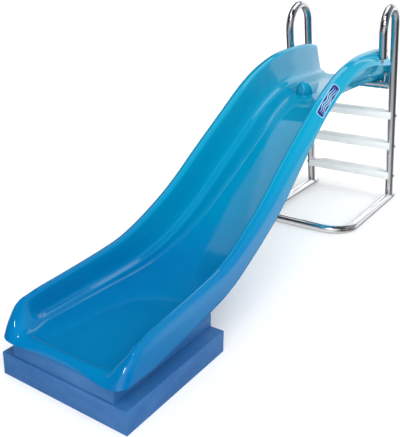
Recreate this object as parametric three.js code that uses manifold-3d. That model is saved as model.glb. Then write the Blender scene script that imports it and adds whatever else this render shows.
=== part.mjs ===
// Small pool slide: a moulded glass-fibre chute carried by a stainless ladder frame with two hand
// hoops, three moulded treads and a U-shaped floor tube. The exit rests on a stepped timber plinth.
// Units are millimetres, +Z is up, +Y is the ladder end and -Y the exit. Inside the design
// group y = 0 is the line of the ladder's feet; the outer group moves the origin to the middle.
import * as THREE from 'three';
import { mergeVertices } from 'three/addons/utils/BufferGeometryUtils.js';
import Module from 'manifold-3d';

const wasm = await Module();
wasm.setup();

// ---- Driving dimensions -------------------------------------------------------------------

const GAP = 0.3;
const LADDER_LEAN = THREE.MathUtils.degToRad(11.8);

const RAIL_SPACING = 500;
const RAIL_RADIUS = 21.5;
const RAIL_WALL = 1.5;
const RAIL_SIDES = 16;
const RAIL_CLEARANCE = 0.6;
const FLOOR_TUBE_Z = RAIL_RADIUS;

const HOOP_RADIUS = 108;
const HOOP_CENTRE_Z = 1048;
const HOOP_SPLAY = 10;
const HOOP_END_Z = 908;

const BASE_FRONT_Y = -712;
const BASE_REAR_Y = 60;
const BASE_BEND = 130;

const TREAD_HEIGHTS = [183, 375, 566];
const TREAD_NAMES = ['lower', 'middle', 'upper'];
const TREAD_DEPTH = 41;
const TREAD_WALL = 5;
const TREAD_FRONT = 31.5;
const TREAD_REAR = 64;
const TREAD_DECK_HALF = 240;
const TREAD_TAB_HALF = 252;
const TREAD_TAB_HEIGHT = 36;
const TREAD_HOLLOW_HALF = 216;
const TREAD_EDGE_RADIUS = 7;
const TREAD_BOLT_BELOW = 22;
const TREAD_BOLT_LENGTH = 60;

const CROSSBAR_Z = 724;
const CROSSBAR_RADIUS = 12.5;
const CROSSBAR_WALL = 2;

const BOLT_RADIUS = 4;
const BOLT_CLEARANCE = 0.4;

// Chute path: flat platform, crest arc, straight slope, sag arc and run-out, measured along
// the middle of the floor from the platform's rear edge.
const PLATFORM_REAR_Y = -105;
const PLATFORM_Z = 742;
const PLATFORM_FALL = THREE.MathUtils.degToRad(1.5);
const SLOPE = THREE.MathUtils.degToRad(31);
const PLATFORM_LENGTH = 425;
const CREST_RADIUS = 900;
const SLOPE_LENGTH = 519;
const SAG_RADIUS = 1150;
const RUNOUT_LENGTH = 556;

const SHELL = 5;
const EXIT_SHELL = 1.8;
const CROWN_INNER_RADIUS = 16;
const EXIT_TAPER = 100;
const EXIT_BLEND = 150;
const EXIT_RECESS = 52;
const EXIT_DIP = 9;
const EXIT_DIP_LENGTH = 22;
const EXIT_BEAD = 8;
const EXIT_BEAD_LENGTH = 24;
const EXIT_REACH = 16;
const EXIT_NOSE = 20;
const EXIT_CORNER_RADIUS = 44;
const EXIT_CORNER_LOW = 9;
const EXIT_TURN_LENGTH = 75;
const LIP_TURN = THREE.MathUtils.degToRad(68);
const REAR_RISE = 8;
const REAR_RISE_LENGTH = 140;
const REAR_FADE = 450;
const REAR_BOW = 10;
const REAR_FLARE = 22;
const REAR_FLARE_LENGTH = 16;
const REAR_RAKE = 60;
const REAR_RELIEF = 116;
const APRON_ROLL = 10;
const APRON_LOW = -50;
const APRON_RIM = 40;

// Where shape changes fade in: from a value (across, up or along), over a distance.
const BOW_HALF_WIDTH = 150;
const RAKE_UP = { from: 60, over: 110 };
const RELIEF_ACROSS = { from: 212, over: 36 };
const FLARE_UP = { from: 6, over: 24 };
const FLARE_TOP = { from: 90, over: 130 };
const FLARE_ACROSS = { from: 200, over: 25 };
const BEAD_UP = { from: 0, over: 30 };
const REAR_RISE_UP = { from: 0, over: 40 };
const EXIT_DIP_UP = { from: 50, over: 40 };
const EXIT_RECESS_ACROSS = { from: 140, over: 116 };
const EXIT_NOSE_ACROSS = { from: 60, over: 180 };
const STEEP_LIP_ALONG = { from: 1900, over: 400 };

// Cross-section along the path: half-widths of floor, ledge and crown, heights of ledge and
// crown above the floor, radius of the rolled lip and height of the lip's lower edge.
const SECTION_KEYS = [
  { s: 0, floor: 158, ledge: 187, ledgeRise: 26, crown: 208, crownRise: 185, roll: 53, low: 114 },
  { s: 170, floor: 130, ledge: 170, ledgeRise: 42, crown: 201, crownRise: 208, roll: 59, low: 130 },
  { s: 500, floor: 118, ledge: 165, ledgeRise: 55, crown: 200, crownRise: 214, roll: 58, low: 156 },
  { s: 780, floor: 118, ledge: 166, ledgeRise: 61, crown: 202, crownRise: 220, roll: 54, low: 168 },
  { s: 1000, floor: 118, ledge: 168, ledgeRise: 66, crown: 204, crownRise: 225, roll: 50, low: 168 },
  { s: 1400, floor: 140, ledge: 180, ledgeRise: 60, crown: 214, crownRise: 222, roll: 42, low: 123 },
  { s: 1720, floor: 162, ledge: 199, ledgeRise: 40, crown: 225, crownRise: 196, roll: 36, low: 96 },
  { s: 2050, floor: 184, ledge: 213, ledgeRise: 26, crown: 238, crownRise: 143, roll: 30, low: 34 },
  { s: 2600, floor: 206, ledge: 232, ledgeRise: 10, crown: 256, crownRise: 101, roll: 22, low: -24 },
];

// Half outline of the trough at its exit edge, as [across, up].
const EXIT_OUTLINE = [
  [0, 0], [95, 0], [158, 0], [178, 2], [190, 9], [201, 22], [210, 37], [219, 51], [228, 66],
  [236, 82], [242, 93], [248, 99], [255, 102],
];

const BLOCK_LOWER = { width: 565, depth: 576, height: 89, frontY: -2586 };
const BLOCK_UPPER = { width: 455, depth: 568, frontY: -2581 };
const BLOCK_EDGE = 2;
const REST_PAD_HALF_WIDTH = 170;
const REST_PAD_DEPTH = 60;
const REST_PAD_FRONT_Y = -2560;
const REST_PAD_REAR_Y = -2110;

const DOME_RADIUS = 45;
const DOME_HEIGHT = 62;
const DOME_WALL = 3;
const DOME_X = -70;
const DOME_S = 515;
const DOME_BLEND = 130;
const SPIGOT_RADIUS = 10;
const SPIGOT_BORE = 7;
const SPIGOT_LOW = -62;
const SPIGOT_CHAMFER_LOW = -58;
const SPIGOT_CHAMFER = 1.5;
const FLANGE_RADIUS = 12.5;
const FLANGE_LOW = 7;
const FLANGE_TOP = 10;
const GASKET_RADIUS = 19;
const GASKET_LOW = 4.6;
const GASKET_TOP = 2.2;
const LOCKNUT_RADIUS = 18;
const LOCKNUT_HEIGHT = 9;
const LOCKNUT_BELOW = 9.4;
const MOUTH_RADIUS = 7;
const MOUTH_HEIGHT = 8;
const MOUTH_ACROSS = 24;
const MOUTH_FORWARD = 48;

const WALL_TAB_X = 199;
const WALL_BOLT_Z = 782;
const BAR_BOLT_X = 178;
const BRACKET_PLATE = 3;
const BRACKET_HALF_WIDTH = 11.5;
const BRACKET_TOP_Z = 793;
const SLEEVE_FROM = 206;
const SLEEVE_TO = 227;

const HOOP_BOLT_Z = 884;
const SEAT_BELOW = 9;
const SEAT_ABOVE = 90;
const TONGUE_IN = 238;
const TONGUE_OUT = 246.3;
const TONGUE_LOW_Z = 872;
const TONGUE_TOP_Z = 904;
const TONGUE_HALF_DEPTH = 12;
const SKIRT_X = 262;
const HOOP_BOLT_LENGTH = 24;
const WALL_BOLT_LENGTH = 10;
const LEG_SEAT_CLEARANCE = 3;
const DRILL_REACH = 30;
const TRIM_REACH = 80;

const LABEL_REAR_Y = -880;
const LABEL_FRONT_Y = -1110;
const LABEL_INNER_X = 219;
const LABEL_LIFT = 0.8;
const LABEL_THICKNESS = 1.2;

// ---- Materials ----------------------------------------------------------------------------

const finish = (color, roughness, metalness) =>
  new THREE.MeshStandardMaterial({ color, roughness, metalness });

const GELCOAT = finish(0x0f86bd, 0.12, 0);
const STEEL = finish(0xc9ccd0, 0.16, 1);
const TREAD_WHITE = finish(0xe4eaea, 0.5, 0);
const BLACK_PLASTIC = finish(0x22252a, 0.5, 0);
const RUBBER = finish(0x1b1c1e, 0.85, 0);
const LABEL_FILM = finish(0x1c3f86, 0.3, 0);
const PLINTH_PAINT = finish(0x3f74b5, 0.6, 0);

// ---- Mesh helpers ---------------------------------------------------------------------------

function weld(geometry) {
  const bare = geometry.clone();
  bare.deleteAttribute('normal');
  bare.deleteAttribute('uv');
  return mergeVertices(bare, 1e-4);
}

function toSolid(geometry) {
  const welded = weld(geometry);
  return new wasm.Manifold(new wasm.Mesh({
    numProp: 3,
    vertProperties: new Float32Array(welded.attributes.position.array),
    triVerts: new Uint32Array(welded.index.array),
  }));
}

function toGeometry(solid) {
  const mesh = solid.getMesh();
  const geometry = new THREE.BufferGeometry();
  geometry.setAttribute('position', new THREE.BufferAttribute(mesh.vertProperties, 3));
  geometry.setIndex(new THREE.BufferAttribute(mesh.triVerts, 1));
  return geometry;
}

function join(...geometries) {
  return toGeometry(geometries.map(toSolid).reduce((sum, solid) => sum.add(solid)));
}

function cut(geometry, ...tools) {
  return toGeometry(tools.map(toSolid).reduce((rest, tool) => rest.subtract(tool), toSolid(geometry)));
}

function part(name, geometry, material) {
  const mesh = new THREE.Mesh(geometry, material);
  mesh.name = name;
  return mesh;
}

function mirrored(geometry) {
  const copy = weld(geometry);
  copy.scale(-1, 1, 1);
  const order = copy.index.array;
  for (let i = 0; i < order.length; i += 3) {
    [order[i], order[i + 1]] = [order[i + 1], order[i]];
  }
  return copy;
}

function pair(name, leftGeometry, material) {
  return [
    part(`${name}_left`, leftGeometry, material),
    part(`${name}_right`, mirrored(leftGeometry), material),
  ];
}

function box(low, high) {
  const size = high.map((value, axis) => value - low[axis]);
  const geometry = new THREE.BoxGeometry(...size);
  return geometry.translate(...high.map((value, axis) => (value + low[axis]) / 2));
}

// Cylinder between two points.
function rod(from, to, radius, sides = 12) {
  const start = new THREE.Vector3(...from);
  const span = new THREE.Vector3(...to).sub(start);
  const geometry = new THREE.CylinderGeometry(radius, radius, span.length(), sides);
  const turn = new THREE.Quaternion().setFromUnitVectors(
    new THREE.Vector3(0, 1, 0), span.clone().normalize());
  geometry.applyQuaternion(turn);
  return geometry.translate(...start.addScaledVector(span, 0.5).toArray());
}

// Solid of revolution about +Z through the origin; the profile is a list of [radius, height].
function turned(profile, sides = 20) {
  const points = profile.map(([radius, height]) => new THREE.Vector2(radius, height));
  return new THREE.LatheGeometry(points, sides).rotateX(Math.PI / 2);
}

// Moves a shape built about +Z so that its axis runs along a direction from a point.
function aim(geometry, point, direction) {
  const turn = new THREE.Quaternion().setFromUnitVectors(
    new THREE.Vector3(0, 0, 1), new THREE.Vector3(...direction).normalize());
  return geometry.applyQuaternion(turn).translate(...point);
}

// Hexagon bolt with its shank along +Z from the seat at z = 0 and its head below.
function hexBolt(radius, length) {
  const head = new THREE.CylinderGeometry(radius * 1.85, radius * 1.85, radius * 1.3, 6);
  head.rotateX(Math.PI / 2).translate(0, 0, -radius * 0.65);
  const shank = new THREE.CylinderGeometry(radius, radius, length + 1, 12);
  shank.rotateX(Math.PI / 2).translate(0, 0, length / 2 - 0.5);
  return join(head, shank);
}

function extrudeX(outline, low, high) {
  const shape = new THREE.Shape(outline.map(([y, z]) => new THREE.Vector2(y, z)));
  const geometry = new THREE.ExtrudeGeometry(shape, { depth: high - low, bevelEnabled: false });
  geometry.applyMatrix4(new THREE.Matrix4().set(0, 0, 1, low, 1, 0, 0, 0, 0, 1, 0, 0, 0, 0, 0, 1));
  return geometry;
}

function extrudeY(outline, low, high) {
  const shape = new THREE.Shape(outline.map(([x, z]) => new THREE.Vector2(x, z)));
  const geometry = new THREE.ExtrudeGeometry(shape, { depth: high - low, bevelEnabled: false });
  return geometry.rotateX(Math.PI / 2).translate(0, high, 0);
}

// ---- Bent tubes -------------------------------------------------------------------------------

// A path of straight runs and bends that is sampled exactly at its own nodes.
class TubePath extends THREE.Curve {
  constructor(nodes) {
    super();
    this.nodes = nodes;
  }

  node(u) {
    return this.nodes[Math.round(u * (this.nodes.length - 1))];
  }

  getPointAt(u) {
    return this.node(u).point.clone();
  }

  getTangentAt(u) {
    return this.node(u).tangent.clone();
  }
}

// Nodes of a polyline whose inner corners are rounded to one bend radius.
function bentNodes(corners, bendRadius, stepsPerBend) {
  const points = corners.map((corner) => new THREE.Vector3(...corner));
  const heading = (i) => points[i + 1].clone().sub(points[i]).normalize();
  const nodes = [{ point: points[0], tangent: heading(0) }];
  for (let i = 1; i < points.length - 1; i += 1) {
    const before = heading(i - 1);
    const after = heading(i);
    const turn = before.angleTo(after);
    const inward = after.clone().addScaledVector(before, -after.dot(before)).normalize();
    const start = points[i].clone().addScaledVector(before, -bendRadius * Math.tan(turn / 2));
    for (let k = 0; k <= stepsPerBend; k += 1) {
      const angle = (turn * k) / stepsPerBend;
      const point = start.clone()
        .addScaledVector(before, bendRadius * Math.sin(angle))
        .addScaledVector(inward, bendRadius * (1 - Math.cos(angle)));
      const tangent = before.clone().multiplyScalar(Math.cos(angle))
        .addScaledVector(inward, Math.sin(angle));
      if (point.distanceTo(nodes[nodes.length - 1].point) > 0.5) nodes.push({ point, tangent });
    }
  }
  nodes.push({ point: points[points.length - 1], tangent: heading(points.length - 2) });
  return nodes;
}

function ringShape(outer, inner, sides) {
  const corner = (radius, k) => new THREE.Vector2(
    radius * Math.cos((2 * Math.PI * k) / sides), radius * Math.sin((2 * Math.PI * k) / sides));
  const circle = (radius) => Array.from({ length: sides }, (_, k) => corner(radius, k));
  const shape = new THREE.Shape(circle(outer));
  shape.holes.push(new THREE.Path(circle(inner).reverse()));
  return shape;
}

function tube(nodes, radius, wall, sides) {
  return new THREE.ExtrudeGeometry(ringShape(radius, radius - wall, sides), {
    steps: nodes.length - 1,
    extrudePath: new TubePath(nodes),
    curveSegments: 1,
    bevelEnabled: false,
  });
}

// ---- Ladder geometry --------------------------------------------------------------------------

const railHalf = RAIL_SPACING / 2;
const upDirection = [0, -Math.sin(LADDER_LEAN), Math.cos(LADDER_LEAN)];
const forwardDirection = [0, -Math.cos(LADDER_LEAN), -Math.sin(LADDER_LEAN)];
const ladderY = (z) => -(z - FLOOR_TUBE_Z) * Math.tan(LADDER_LEAN);
const along = (point, direction, distance) =>
  point.map((value, axis) => value + direction[axis] * distance);

// Middle of the hoop's half circle, in the plane of one rail.
const hoopCentre = [
  -railHalf,
  ladderY(HOOP_CENTRE_Z) - HOOP_RADIUS / Math.cos(LADDER_LEAN),
  HOOP_CENTRE_Z,
];

// Lower end of the hoop's front leg on the left side.
const hoopEnd = (() => {
  const top = along(along(hoopCentre, upDirection, HOOP_RADIUS), forwardDirection, HOOP_RADIUS);
  const drop = (top[2] - HOOP_END_Z) / Math.cos(LADDER_LEAN);
  const end = along(top, upDirection, -drop);
  end[0] = -railHalf - HOOP_SPLAY;
  return end;
})();

function leftRail() {
  const apex = along(hoopCentre, upDirection, HOOP_RADIUS);
  const rearCorner = along(apex, forwardDirection, -HOOP_RADIUS);
  const frontCorner = along(apex, forwardDirection, HOOP_RADIUS);
  frontCorner[0] -= HOOP_SPLAY;
  const foot = [-railHalf, 0, FLOOR_TUBE_Z];
  const nodes = bentNodes([foot, rearCorner, frontCorner, hoopEnd], HOOP_RADIUS - RAIL_CLEARANCE, 8);
  const blank = tube(nodes, RAIL_RADIUS, RAIL_WALL, RAIL_SIDES);
  const saddle = rod([-railHalf, -TRIM_REACH, FLOOR_TUBE_Z], [-railHalf, TRIM_REACH, FLOOR_TUBE_Z],
    RAIL_RADIUS + GAP, 32);
  const drill = (z) => rod([-railHalf - 40, ladderY(z), z], [-railHalf + 40, ladderY(z), z],
    BOLT_RADIUS + BOLT_CLEARANCE);
  return cut(blank, saddle, ...TREAD_HEIGHTS.map((height) => drill(treadBoltZ(height))));
}

function baseFrame() {
  const corners = [
    [-railHalf, BASE_REAR_Y, FLOOR_TUBE_Z],
    [-railHalf, BASE_FRONT_Y, FLOOR_TUBE_Z],
    [railHalf, BASE_FRONT_Y, FLOOR_TUBE_Z],
    [railHalf, BASE_REAR_Y, FLOOR_TUBE_Z],
  ];
  return tube(bentNodes(corners, BASE_BEND, 7), RAIL_RADIUS, RAIL_WALL, RAIL_SIDES);
}

// Push-in plug that closes a cut tube end, with its domed face along +Z.
function tubePlug() {
  const bore = RAIL_RADIUS - RAIL_WALL - RAIL_CLEARANCE;
  return turned([[0, -16], [bore - 1, -16], [bore, -14], [bore, GAP], [RAIL_RADIUS, GAP],
    [RAIL_RADIUS, 2.5], [RAIL_RADIUS - 2.5, 4.6], [RAIL_RADIUS - 9, 6], [0, 6.6]], 16);
}

// ---- Treads -----------------------------------------------------------------------------------

const treadBoltZ = (height) => height - TREAD_BOLT_BELOW;

// Inverted channel with rounded edges, closed ends and tabs that reach round the rails' front.
function tread(height) {
  const midY = ladderY(treadBoltZ(height));
  const front = midY - TREAD_FRONT;
  const rear = midY + TREAD_REAR;
  const low = height - TREAD_DEPTH;
  const body = extrudeX(roundedTop(front, rear, low, height, TREAD_EDGE_RADIUS),
    -TREAD_DECK_HALF, TREAD_DECK_HALF);
  const hollow = box([-TREAD_HOLLOW_HALF, front + TREAD_WALL, low - 1],
    [TREAD_HOLLOW_HALF, rear - TREAD_WALL, height - TREAD_WALL]);
  const tabs = box([-TREAD_TAB_HALF, front, low],
    [TREAD_TAB_HALF, front + TREAD_WALL - 1, low + TREAD_TAB_HEIGHT]);
  const reach = 60;
  const railPath = (side) => rod(
    [side * railHalf, ladderY(height - reach), height - reach],
    [side * railHalf, ladderY(height + reach), height + reach], RAIL_RADIUS + RAIL_CLEARANCE, 24);
  const bolt = rod([-TREAD_TAB_HALF, midY, treadBoltZ(height)],
    [TREAD_TAB_HALF, midY, treadBoltZ(height)], BOLT_RADIUS + BOLT_CLEARANCE);
  return cut(join(body, tabs), hollow, railPath(-1), railPath(1), bolt);
}

function roundedTop(front, rear, low, high, radius) {
  const arc = (cy, from) => [0, 1, 2, 3].map((k) => {
    const angle = from - (Math.PI / 2) * (k / 3);
    return [cy + radius * Math.cos(angle), high - radius + radius * Math.sin(angle)];
  });
  return [[front, low], ...arc(front + radius, Math.PI), ...arc(rear - radius, Math.PI / 2), [rear, low]]
    .reverse();
}

function treadBolt(height) {
  const z = treadBoltZ(height);
  const bolt = hexBolt(BOLT_RADIUS, TREAD_BOLT_LENGTH);
  return aim(bolt, [-railHalf - RAIL_RADIUS - GAP, ladderY(z), z], [1, 0, 0]);
}

// ---- Chute surface ----------------------------------------------------------------------------

const smooth = (t) => {
  const x = THREE.MathUtils.clamp(t, 0, 1);
  return x * x * (3 - 2 * x);
};

// How far a value has come through a fade, eased from 0 to 1.
function easeIn(value, { from, over }) {
  return smooth((value - from) / over);
}

const crestLength = CREST_RADIUS * (SLOPE - PLATFORM_FALL);
const sagLength = SAG_RADIUS * SLOPE;
const PATH_LENGTH = PLATFORM_LENGTH + crestLength + SLOPE_LENGTH + sagLength + RUNOUT_LENGTH;

// Point and fall angle of the floor's middle line at a distance along it.
function pathAt(distance) {
  const state = { y: PLATFORM_REAR_Y, z: PLATFORM_Z, angle: PLATFORM_FALL };
  let rest = distance;
  const straight = (length) => {
    state.y -= length * Math.cos(state.angle);
    state.z -= length * Math.sin(state.angle);
  };
  const arc = (length, signedRadius) => {
    const end = state.angle + length / signedRadius;
    state.y -= signedRadius * (Math.sin(end) - Math.sin(state.angle));
    state.z -= signedRadius * (Math.cos(state.angle) - Math.cos(end));
    state.angle = end;
  };
  const runs = [
    [straight, PLATFORM_LENGTH, 0], [arc, crestLength, CREST_RADIUS], [straight, SLOPE_LENGTH, 0],
    [arc, sagLength, -SAG_RADIUS], [straight, Infinity, 0],
  ];
  for (const [run, length, radius] of runs) {
    const used = Math.min(rest, length);
    run(used, radius);
    rest -= used;
    if (rest <= 0) break;
  }
  return state;
}

// Section value at a distance, as a smooth curve through the keys.
function keyed(name, s) {
  const keys = SECTION_KEYS;
  const last = keys.length - 1;
  const clamped = THREE.MathUtils.clamp(s, 0, keys[last].s);
  const i = Math.min(last - 1, keys.findLastIndex((key) => key.s <= clamped));
  const slope = (k) => {
    const a = keys[Math.max(k - 1, 0)];
    const b = keys[Math.min(k + 1, last)];
    return (b[name] - a[name]) / (b.s - a.s);
  };
  const width = keys[i + 1].s - keys[i].s;
  const t = (clamped - keys[i].s) / width;
  const h00 = (1 + 2 * t) * (1 - t) ** 2;
  const h10 = t * (1 - t) ** 2;
  const h01 = t * t * (3 - 2 * t);
  const h11 = t * t * (t - 1);
  return h00 * keys[i][name] + h10 * width * slope(i)
    + h01 * keys[i + 1][name] + h11 * width * slope(i + 1);
}

// Section at a distance, with the weights of what is special at the two ends.
function sectionAt(s) {
  const value = Object.fromEntries(Object.keys(SECTION_KEYS[0]).map((name) => [name, keyed(name, s)]));
  value.end = smooth((s - PATH_LENGTH) / EXIT_BLEND + 1);
  value.bead = EXIT_BEAD * smooth((s - PATH_LENGTH) / EXIT_BEAD_LENGTH + 1);
  value.dip = EXIT_DIP * smooth((s - PATH_LENGTH) / EXIT_DIP_LENGTH + 1);
  value.rise = REAR_RISE * (1 - smooth(s / REAR_RISE_LENGTH));
  return value;
}

// Half of the trough's outline from the floor's middle to the top of the crown, as [u, v].
function troughOutline(section) {
  const { floor, ledge, ledgeRise, crown, crownRise, end } = section;
  const ridge = CROWN_INNER_RADIUS;
  const innerX = crown - ridge;
  const innerZ = crownRise - ridge;
  const ledgeIn = Math.max(ledge - 26, floor + 8);
  const wall = (across, up, bulge) => [
    THREE.MathUtils.lerp(ledge + 4, innerX, across) + bulge,
    THREE.MathUtils.lerp(ledgeRise + 7, innerZ, up),
  ];
  const outline = [
    [0, 0], [floor * 0.5, 0], [floor - 14, 0], [floor, Math.min(4, ledgeRise * 0.12)],
    [(floor + ledgeIn) / 2 + 2, ledgeRise * 0.45], [ledgeIn, ledgeRise * 0.86],
    [ledge - 10, ledgeRise], [ledge + 4, ledgeRise + 7], wall(0.5, 0.25, 3), wall(0.85, 0.6, 2),
    [innerX, innerZ],
    [crown - ridge * Math.SQRT1_2, crownRise - ridge * (1 - Math.SQRT1_2)],
    [crown, crownRise],
  ];
  return outline.map(([u, v], k) => [
    THREE.MathUtils.lerp(u, EXIT_OUTLINE[k][0], end),
    THREE.MathUtils.lerp(v, EXIT_OUTLINE[k][1], end),
  ]);
}

// Places section coordinates (across, up, along) in space; the rear end is cut obliquely and flares.
function place(u, v, s) {
  const side = Math.abs(u);
  const fade = 1 - smooth(s / REAR_FADE);
  const bow = REAR_BOW * Math.min(side / BOW_HALF_WIDTH, 1) ** 2;
  const rake = REAR_RAKE * THREE.MathUtils.clamp((v - RAKE_UP.from) / RAKE_UP.over, 0, 1);
  const relief = REAR_RELIEF * easeIn(side, RELIEF_ACROSS);
  const at = pathAt(s + fade * (bow + rake + relief));
  const flare = REAR_FLARE * (1 - smooth(s / REAR_FLARE_LENGTH)) * easeIn(v, FLARE_UP)
    * (1 - easeIn(v, FLARE_TOP)) * (1 - easeIn(side, FLARE_ACROSS));
  return [u + Math.sign(u) * flare, at.y - v * Math.sin(at.angle), at.z + v * Math.cos(at.angle)];
}

// Distances of the stations along the path, closer together where the surface turns.
function stations(spacing, endSteps) {
  const blendStart = PATH_LENGTH - EXIT_BLEND;
  const list = [0, REAR_FLARE_LENGTH / 2, REAR_FLARE_LENGTH, REAR_RISE_LENGTH / 2];
  const count = Math.round((blendStart - REAR_RISE_LENGTH) / spacing);
  for (let k = 0; k < count; k += 1) {
    list.push(REAR_RISE_LENGTH + ((blendStart - REAR_RISE_LENGTH) * k) / count);
  }
  for (let k = 0; k < endSteps; k += 1) list.push(blendStart + (EXIT_BLEND * k) / endSteps);
  list.push(PATH_LENGTH - EXIT_BEAD_LENGTH / 3, PATH_LENGTH);
  return list;
}

// Trough grid in (u, v, s), one row per station.
function troughRows(distances) {
  return distances.map((s) => {
    const section = sectionAt(s);
    const half = troughOutline(section).map(([u, v]) => [
      u,
      v + section.bead * (1 - easeIn(v, BEAD_UP)) + section.rise * (1 - easeIn(v, REAR_RISE_UP))
        - section.dip * easeIn(v, EXIT_DIP_UP),
      s - EXIT_RECESS * easeIn(u, EXIT_RECESS_ACROSS) * section.end,
    ]);
    const other = half.slice(1).reverse().map(([u, v, along]) => [-u, v, along]);
    return [...other, ...half];
  });
}

// How far a spot lies outside the lip's outer outline, a rectangle with rounded exit corners.
function beyond(u, s) {
  const section = sectionAt(s);
  const half = section.crown + section.roll;
  const end = PATH_LENGTH + EXIT_REACH + EXIT_NOSE * easeIn(Math.abs(u), EXIT_NOSE_ACROSS);
  const across = Math.abs(u) - (half - EXIT_CORNER_RADIUS);
  const along = s - (end - EXIT_CORNER_RADIUS);
  const corner = across > 0 && along > 0;
  return (corner ? Math.hypot(across, along) : Math.max(across, along)) - EXIT_CORNER_RADIUS;
}

// Distance from a rim spot to the lip's outer outline along a heading (across, along).
function lipReach([u, , s], heading) {
  let low = 0;
  let high = 150;
  for (let k = 0; k < 30; k += 1) {
    const middle = (low + high) / 2;
    const inside = beyond(u + heading[0] * middle, s + heading[1] * middle) < 0;
    if (inside) low = middle;
    else high = middle;
  }
  return low;
}

// Outline of the rolled lip outside one rim spot: outward distance and drop.
function lipProfile(reach, steepness, drop) {
  const down = Math.min(reach * steepness, drop - 3);
  const arc = [1, 2, 3, 4].map((k) => (LIP_TURN * k) / 4);
  const curve = arc.map((angle) => [
    (reach * Math.sin(angle)) / Math.sin(LIP_TURN),
    (down * (1 - Math.cos(angle))) / (1 - Math.cos(LIP_TURN)),
  ]);
  return [...curve, [reach + 1.5, drop]];
}

// Headings (across, along) outward from the rim spots, turning evenly round the two exit corners.
function rimHeadings(spots, corners) {
  const travelled = [0];
  for (let k = 1; k < spots.length; k += 1) {
    const step = Math.hypot(...[0, 1, 2].map((axis) => spots[k][axis] - spots[k - 1][axis]));
    travelled.push(travelled[k - 1] + step);
  }
  return spots.map((spot, k) => {
    const near = Math.abs(corners[0] - k) <= Math.abs(corners[1] - k) ? corners[0] : corners[1];
    const past = (travelled[k] - travelled[near]) * (near === corners[0] ? 1 : -1);
    const angle = (Math.PI / 2) * smooth((past + EXIT_TURN_LENGTH) / (2 * EXIT_TURN_LENGTH));
    return [Math.sign(spots[near][0]) * Math.cos(angle), Math.sin(angle)];
  });
}

// The chute's upper sheet: trough grid, lip strip round both sides and the front, rear apron.
function chuteSheet() {
  const distances = stations(84, 7);
  const rows = troughRows(distances);
  const columns = rows[0].length;
  const last = rows.length - 1;
  const points = rows.flat().map(([u, v, s]) => place(u, v, s));
  const faces = [];
  const quad = (a, b, c, d) => faces.push(a, b, c, a, c, d);
  for (let i = 0; i < last; i += 1) {
    for (let j = 0; j < columns - 1; j += 1) {
      const a = i * columns + j;
      quad(a, a + columns, a + columns + 1, a + 1);
    }
  }
  const rim = [
    ...rows.map((_, i) => [i, 0]),
    ...Array.from({ length: columns - 2 }, (_, j) => [last, j + 1]),
    ...rows.map((_, i) => [last - i, columns - 1]),
  ];
  addLip(points, quad, rows, rim, columns);
  addApron(points, quad, rows[0], columns);
  return { points, faces };
}

function addLip(points, quad, rows, rim, columns) {
  const spots = rim.map(([i, j]) => rows[i][j]);
  const last = rows.length - 1;
  const headings = rimHeadings(spots, [last, last + columns - 1]);
  const profiles = spots.map((spot, k) => {
    const heading = headings[k];
    const bulge = Math.sin(2 * Math.atan2(Math.abs(heading[1]), Math.abs(heading[0])));
    const sideways = easeIn(spot[2], STEEP_LIP_ALONG) * Math.abs(heading[0]);
    const steepness = 1 + 0.5 * Math.max(bulge, sideways);
    const low = sectionAt(spot[2]).low + EXIT_CORNER_LOW * bulge;
    return lipProfile(lipReach(spot, heading), steepness, spot[1] - low);
  });
  let ring = rim.map(([i, j]) => i * columns + j);
  for (let step = 0; step < profiles[0].length; step += 1) {
    const next = spots.map(([u, v, s], k) => {
      const [out, drop] = profiles[k][step];
      points.push(place(u + headings[k][0] * out, v - drop, s + headings[k][1] * out));
      return points.length - 1;
    });
    for (let k = 0; k < ring.length - 1; k += 1) quad(ring[k], next[k], next[k + 1], ring[k + 1]);
    ring = next;
  }
}

function addApron(points, quad, rearRow, columns) {
  const inside = rearRow.map((spot, j) => j).filter((j) => rearRow[j][1] < APRON_RIM);
  let ring = inside;
  const shape = [30, 60, 90].map((degrees) => THREE.MathUtils.degToRad(degrees));
  const steps = shape.map((angle) => (v) => [APRON_ROLL * Math.sin(angle),
    v - APRON_ROLL * (1 - Math.cos(angle))]);
  steps.push(() => [APRON_ROLL, APRON_LOW]);
  for (const step of steps) {
    const next = inside.map((j) => {
      const [u, v] = rearRow[j];
      const [back, height] = step(v);
      const [, y, z] = place(u, height, -back);
      points.push([place(u, v, 0)[0], y, z]);
      return points.length - 1;
    });
    for (let k = 0; k < ring.length - 1; k += 1) quad(ring[k], ring[k + 1], next[k + 1], next[k]);
    ring = next;
  }
}

// The laminate thins out towards the exit's tight corners.
function laminate([, y]) {
  const exitY = pathAt(PATH_LENGTH).y;
  return THREE.MathUtils.lerp(EXIT_SHELL, SHELL, smooth((y - exitY) / EXIT_TAPER));
}

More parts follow.
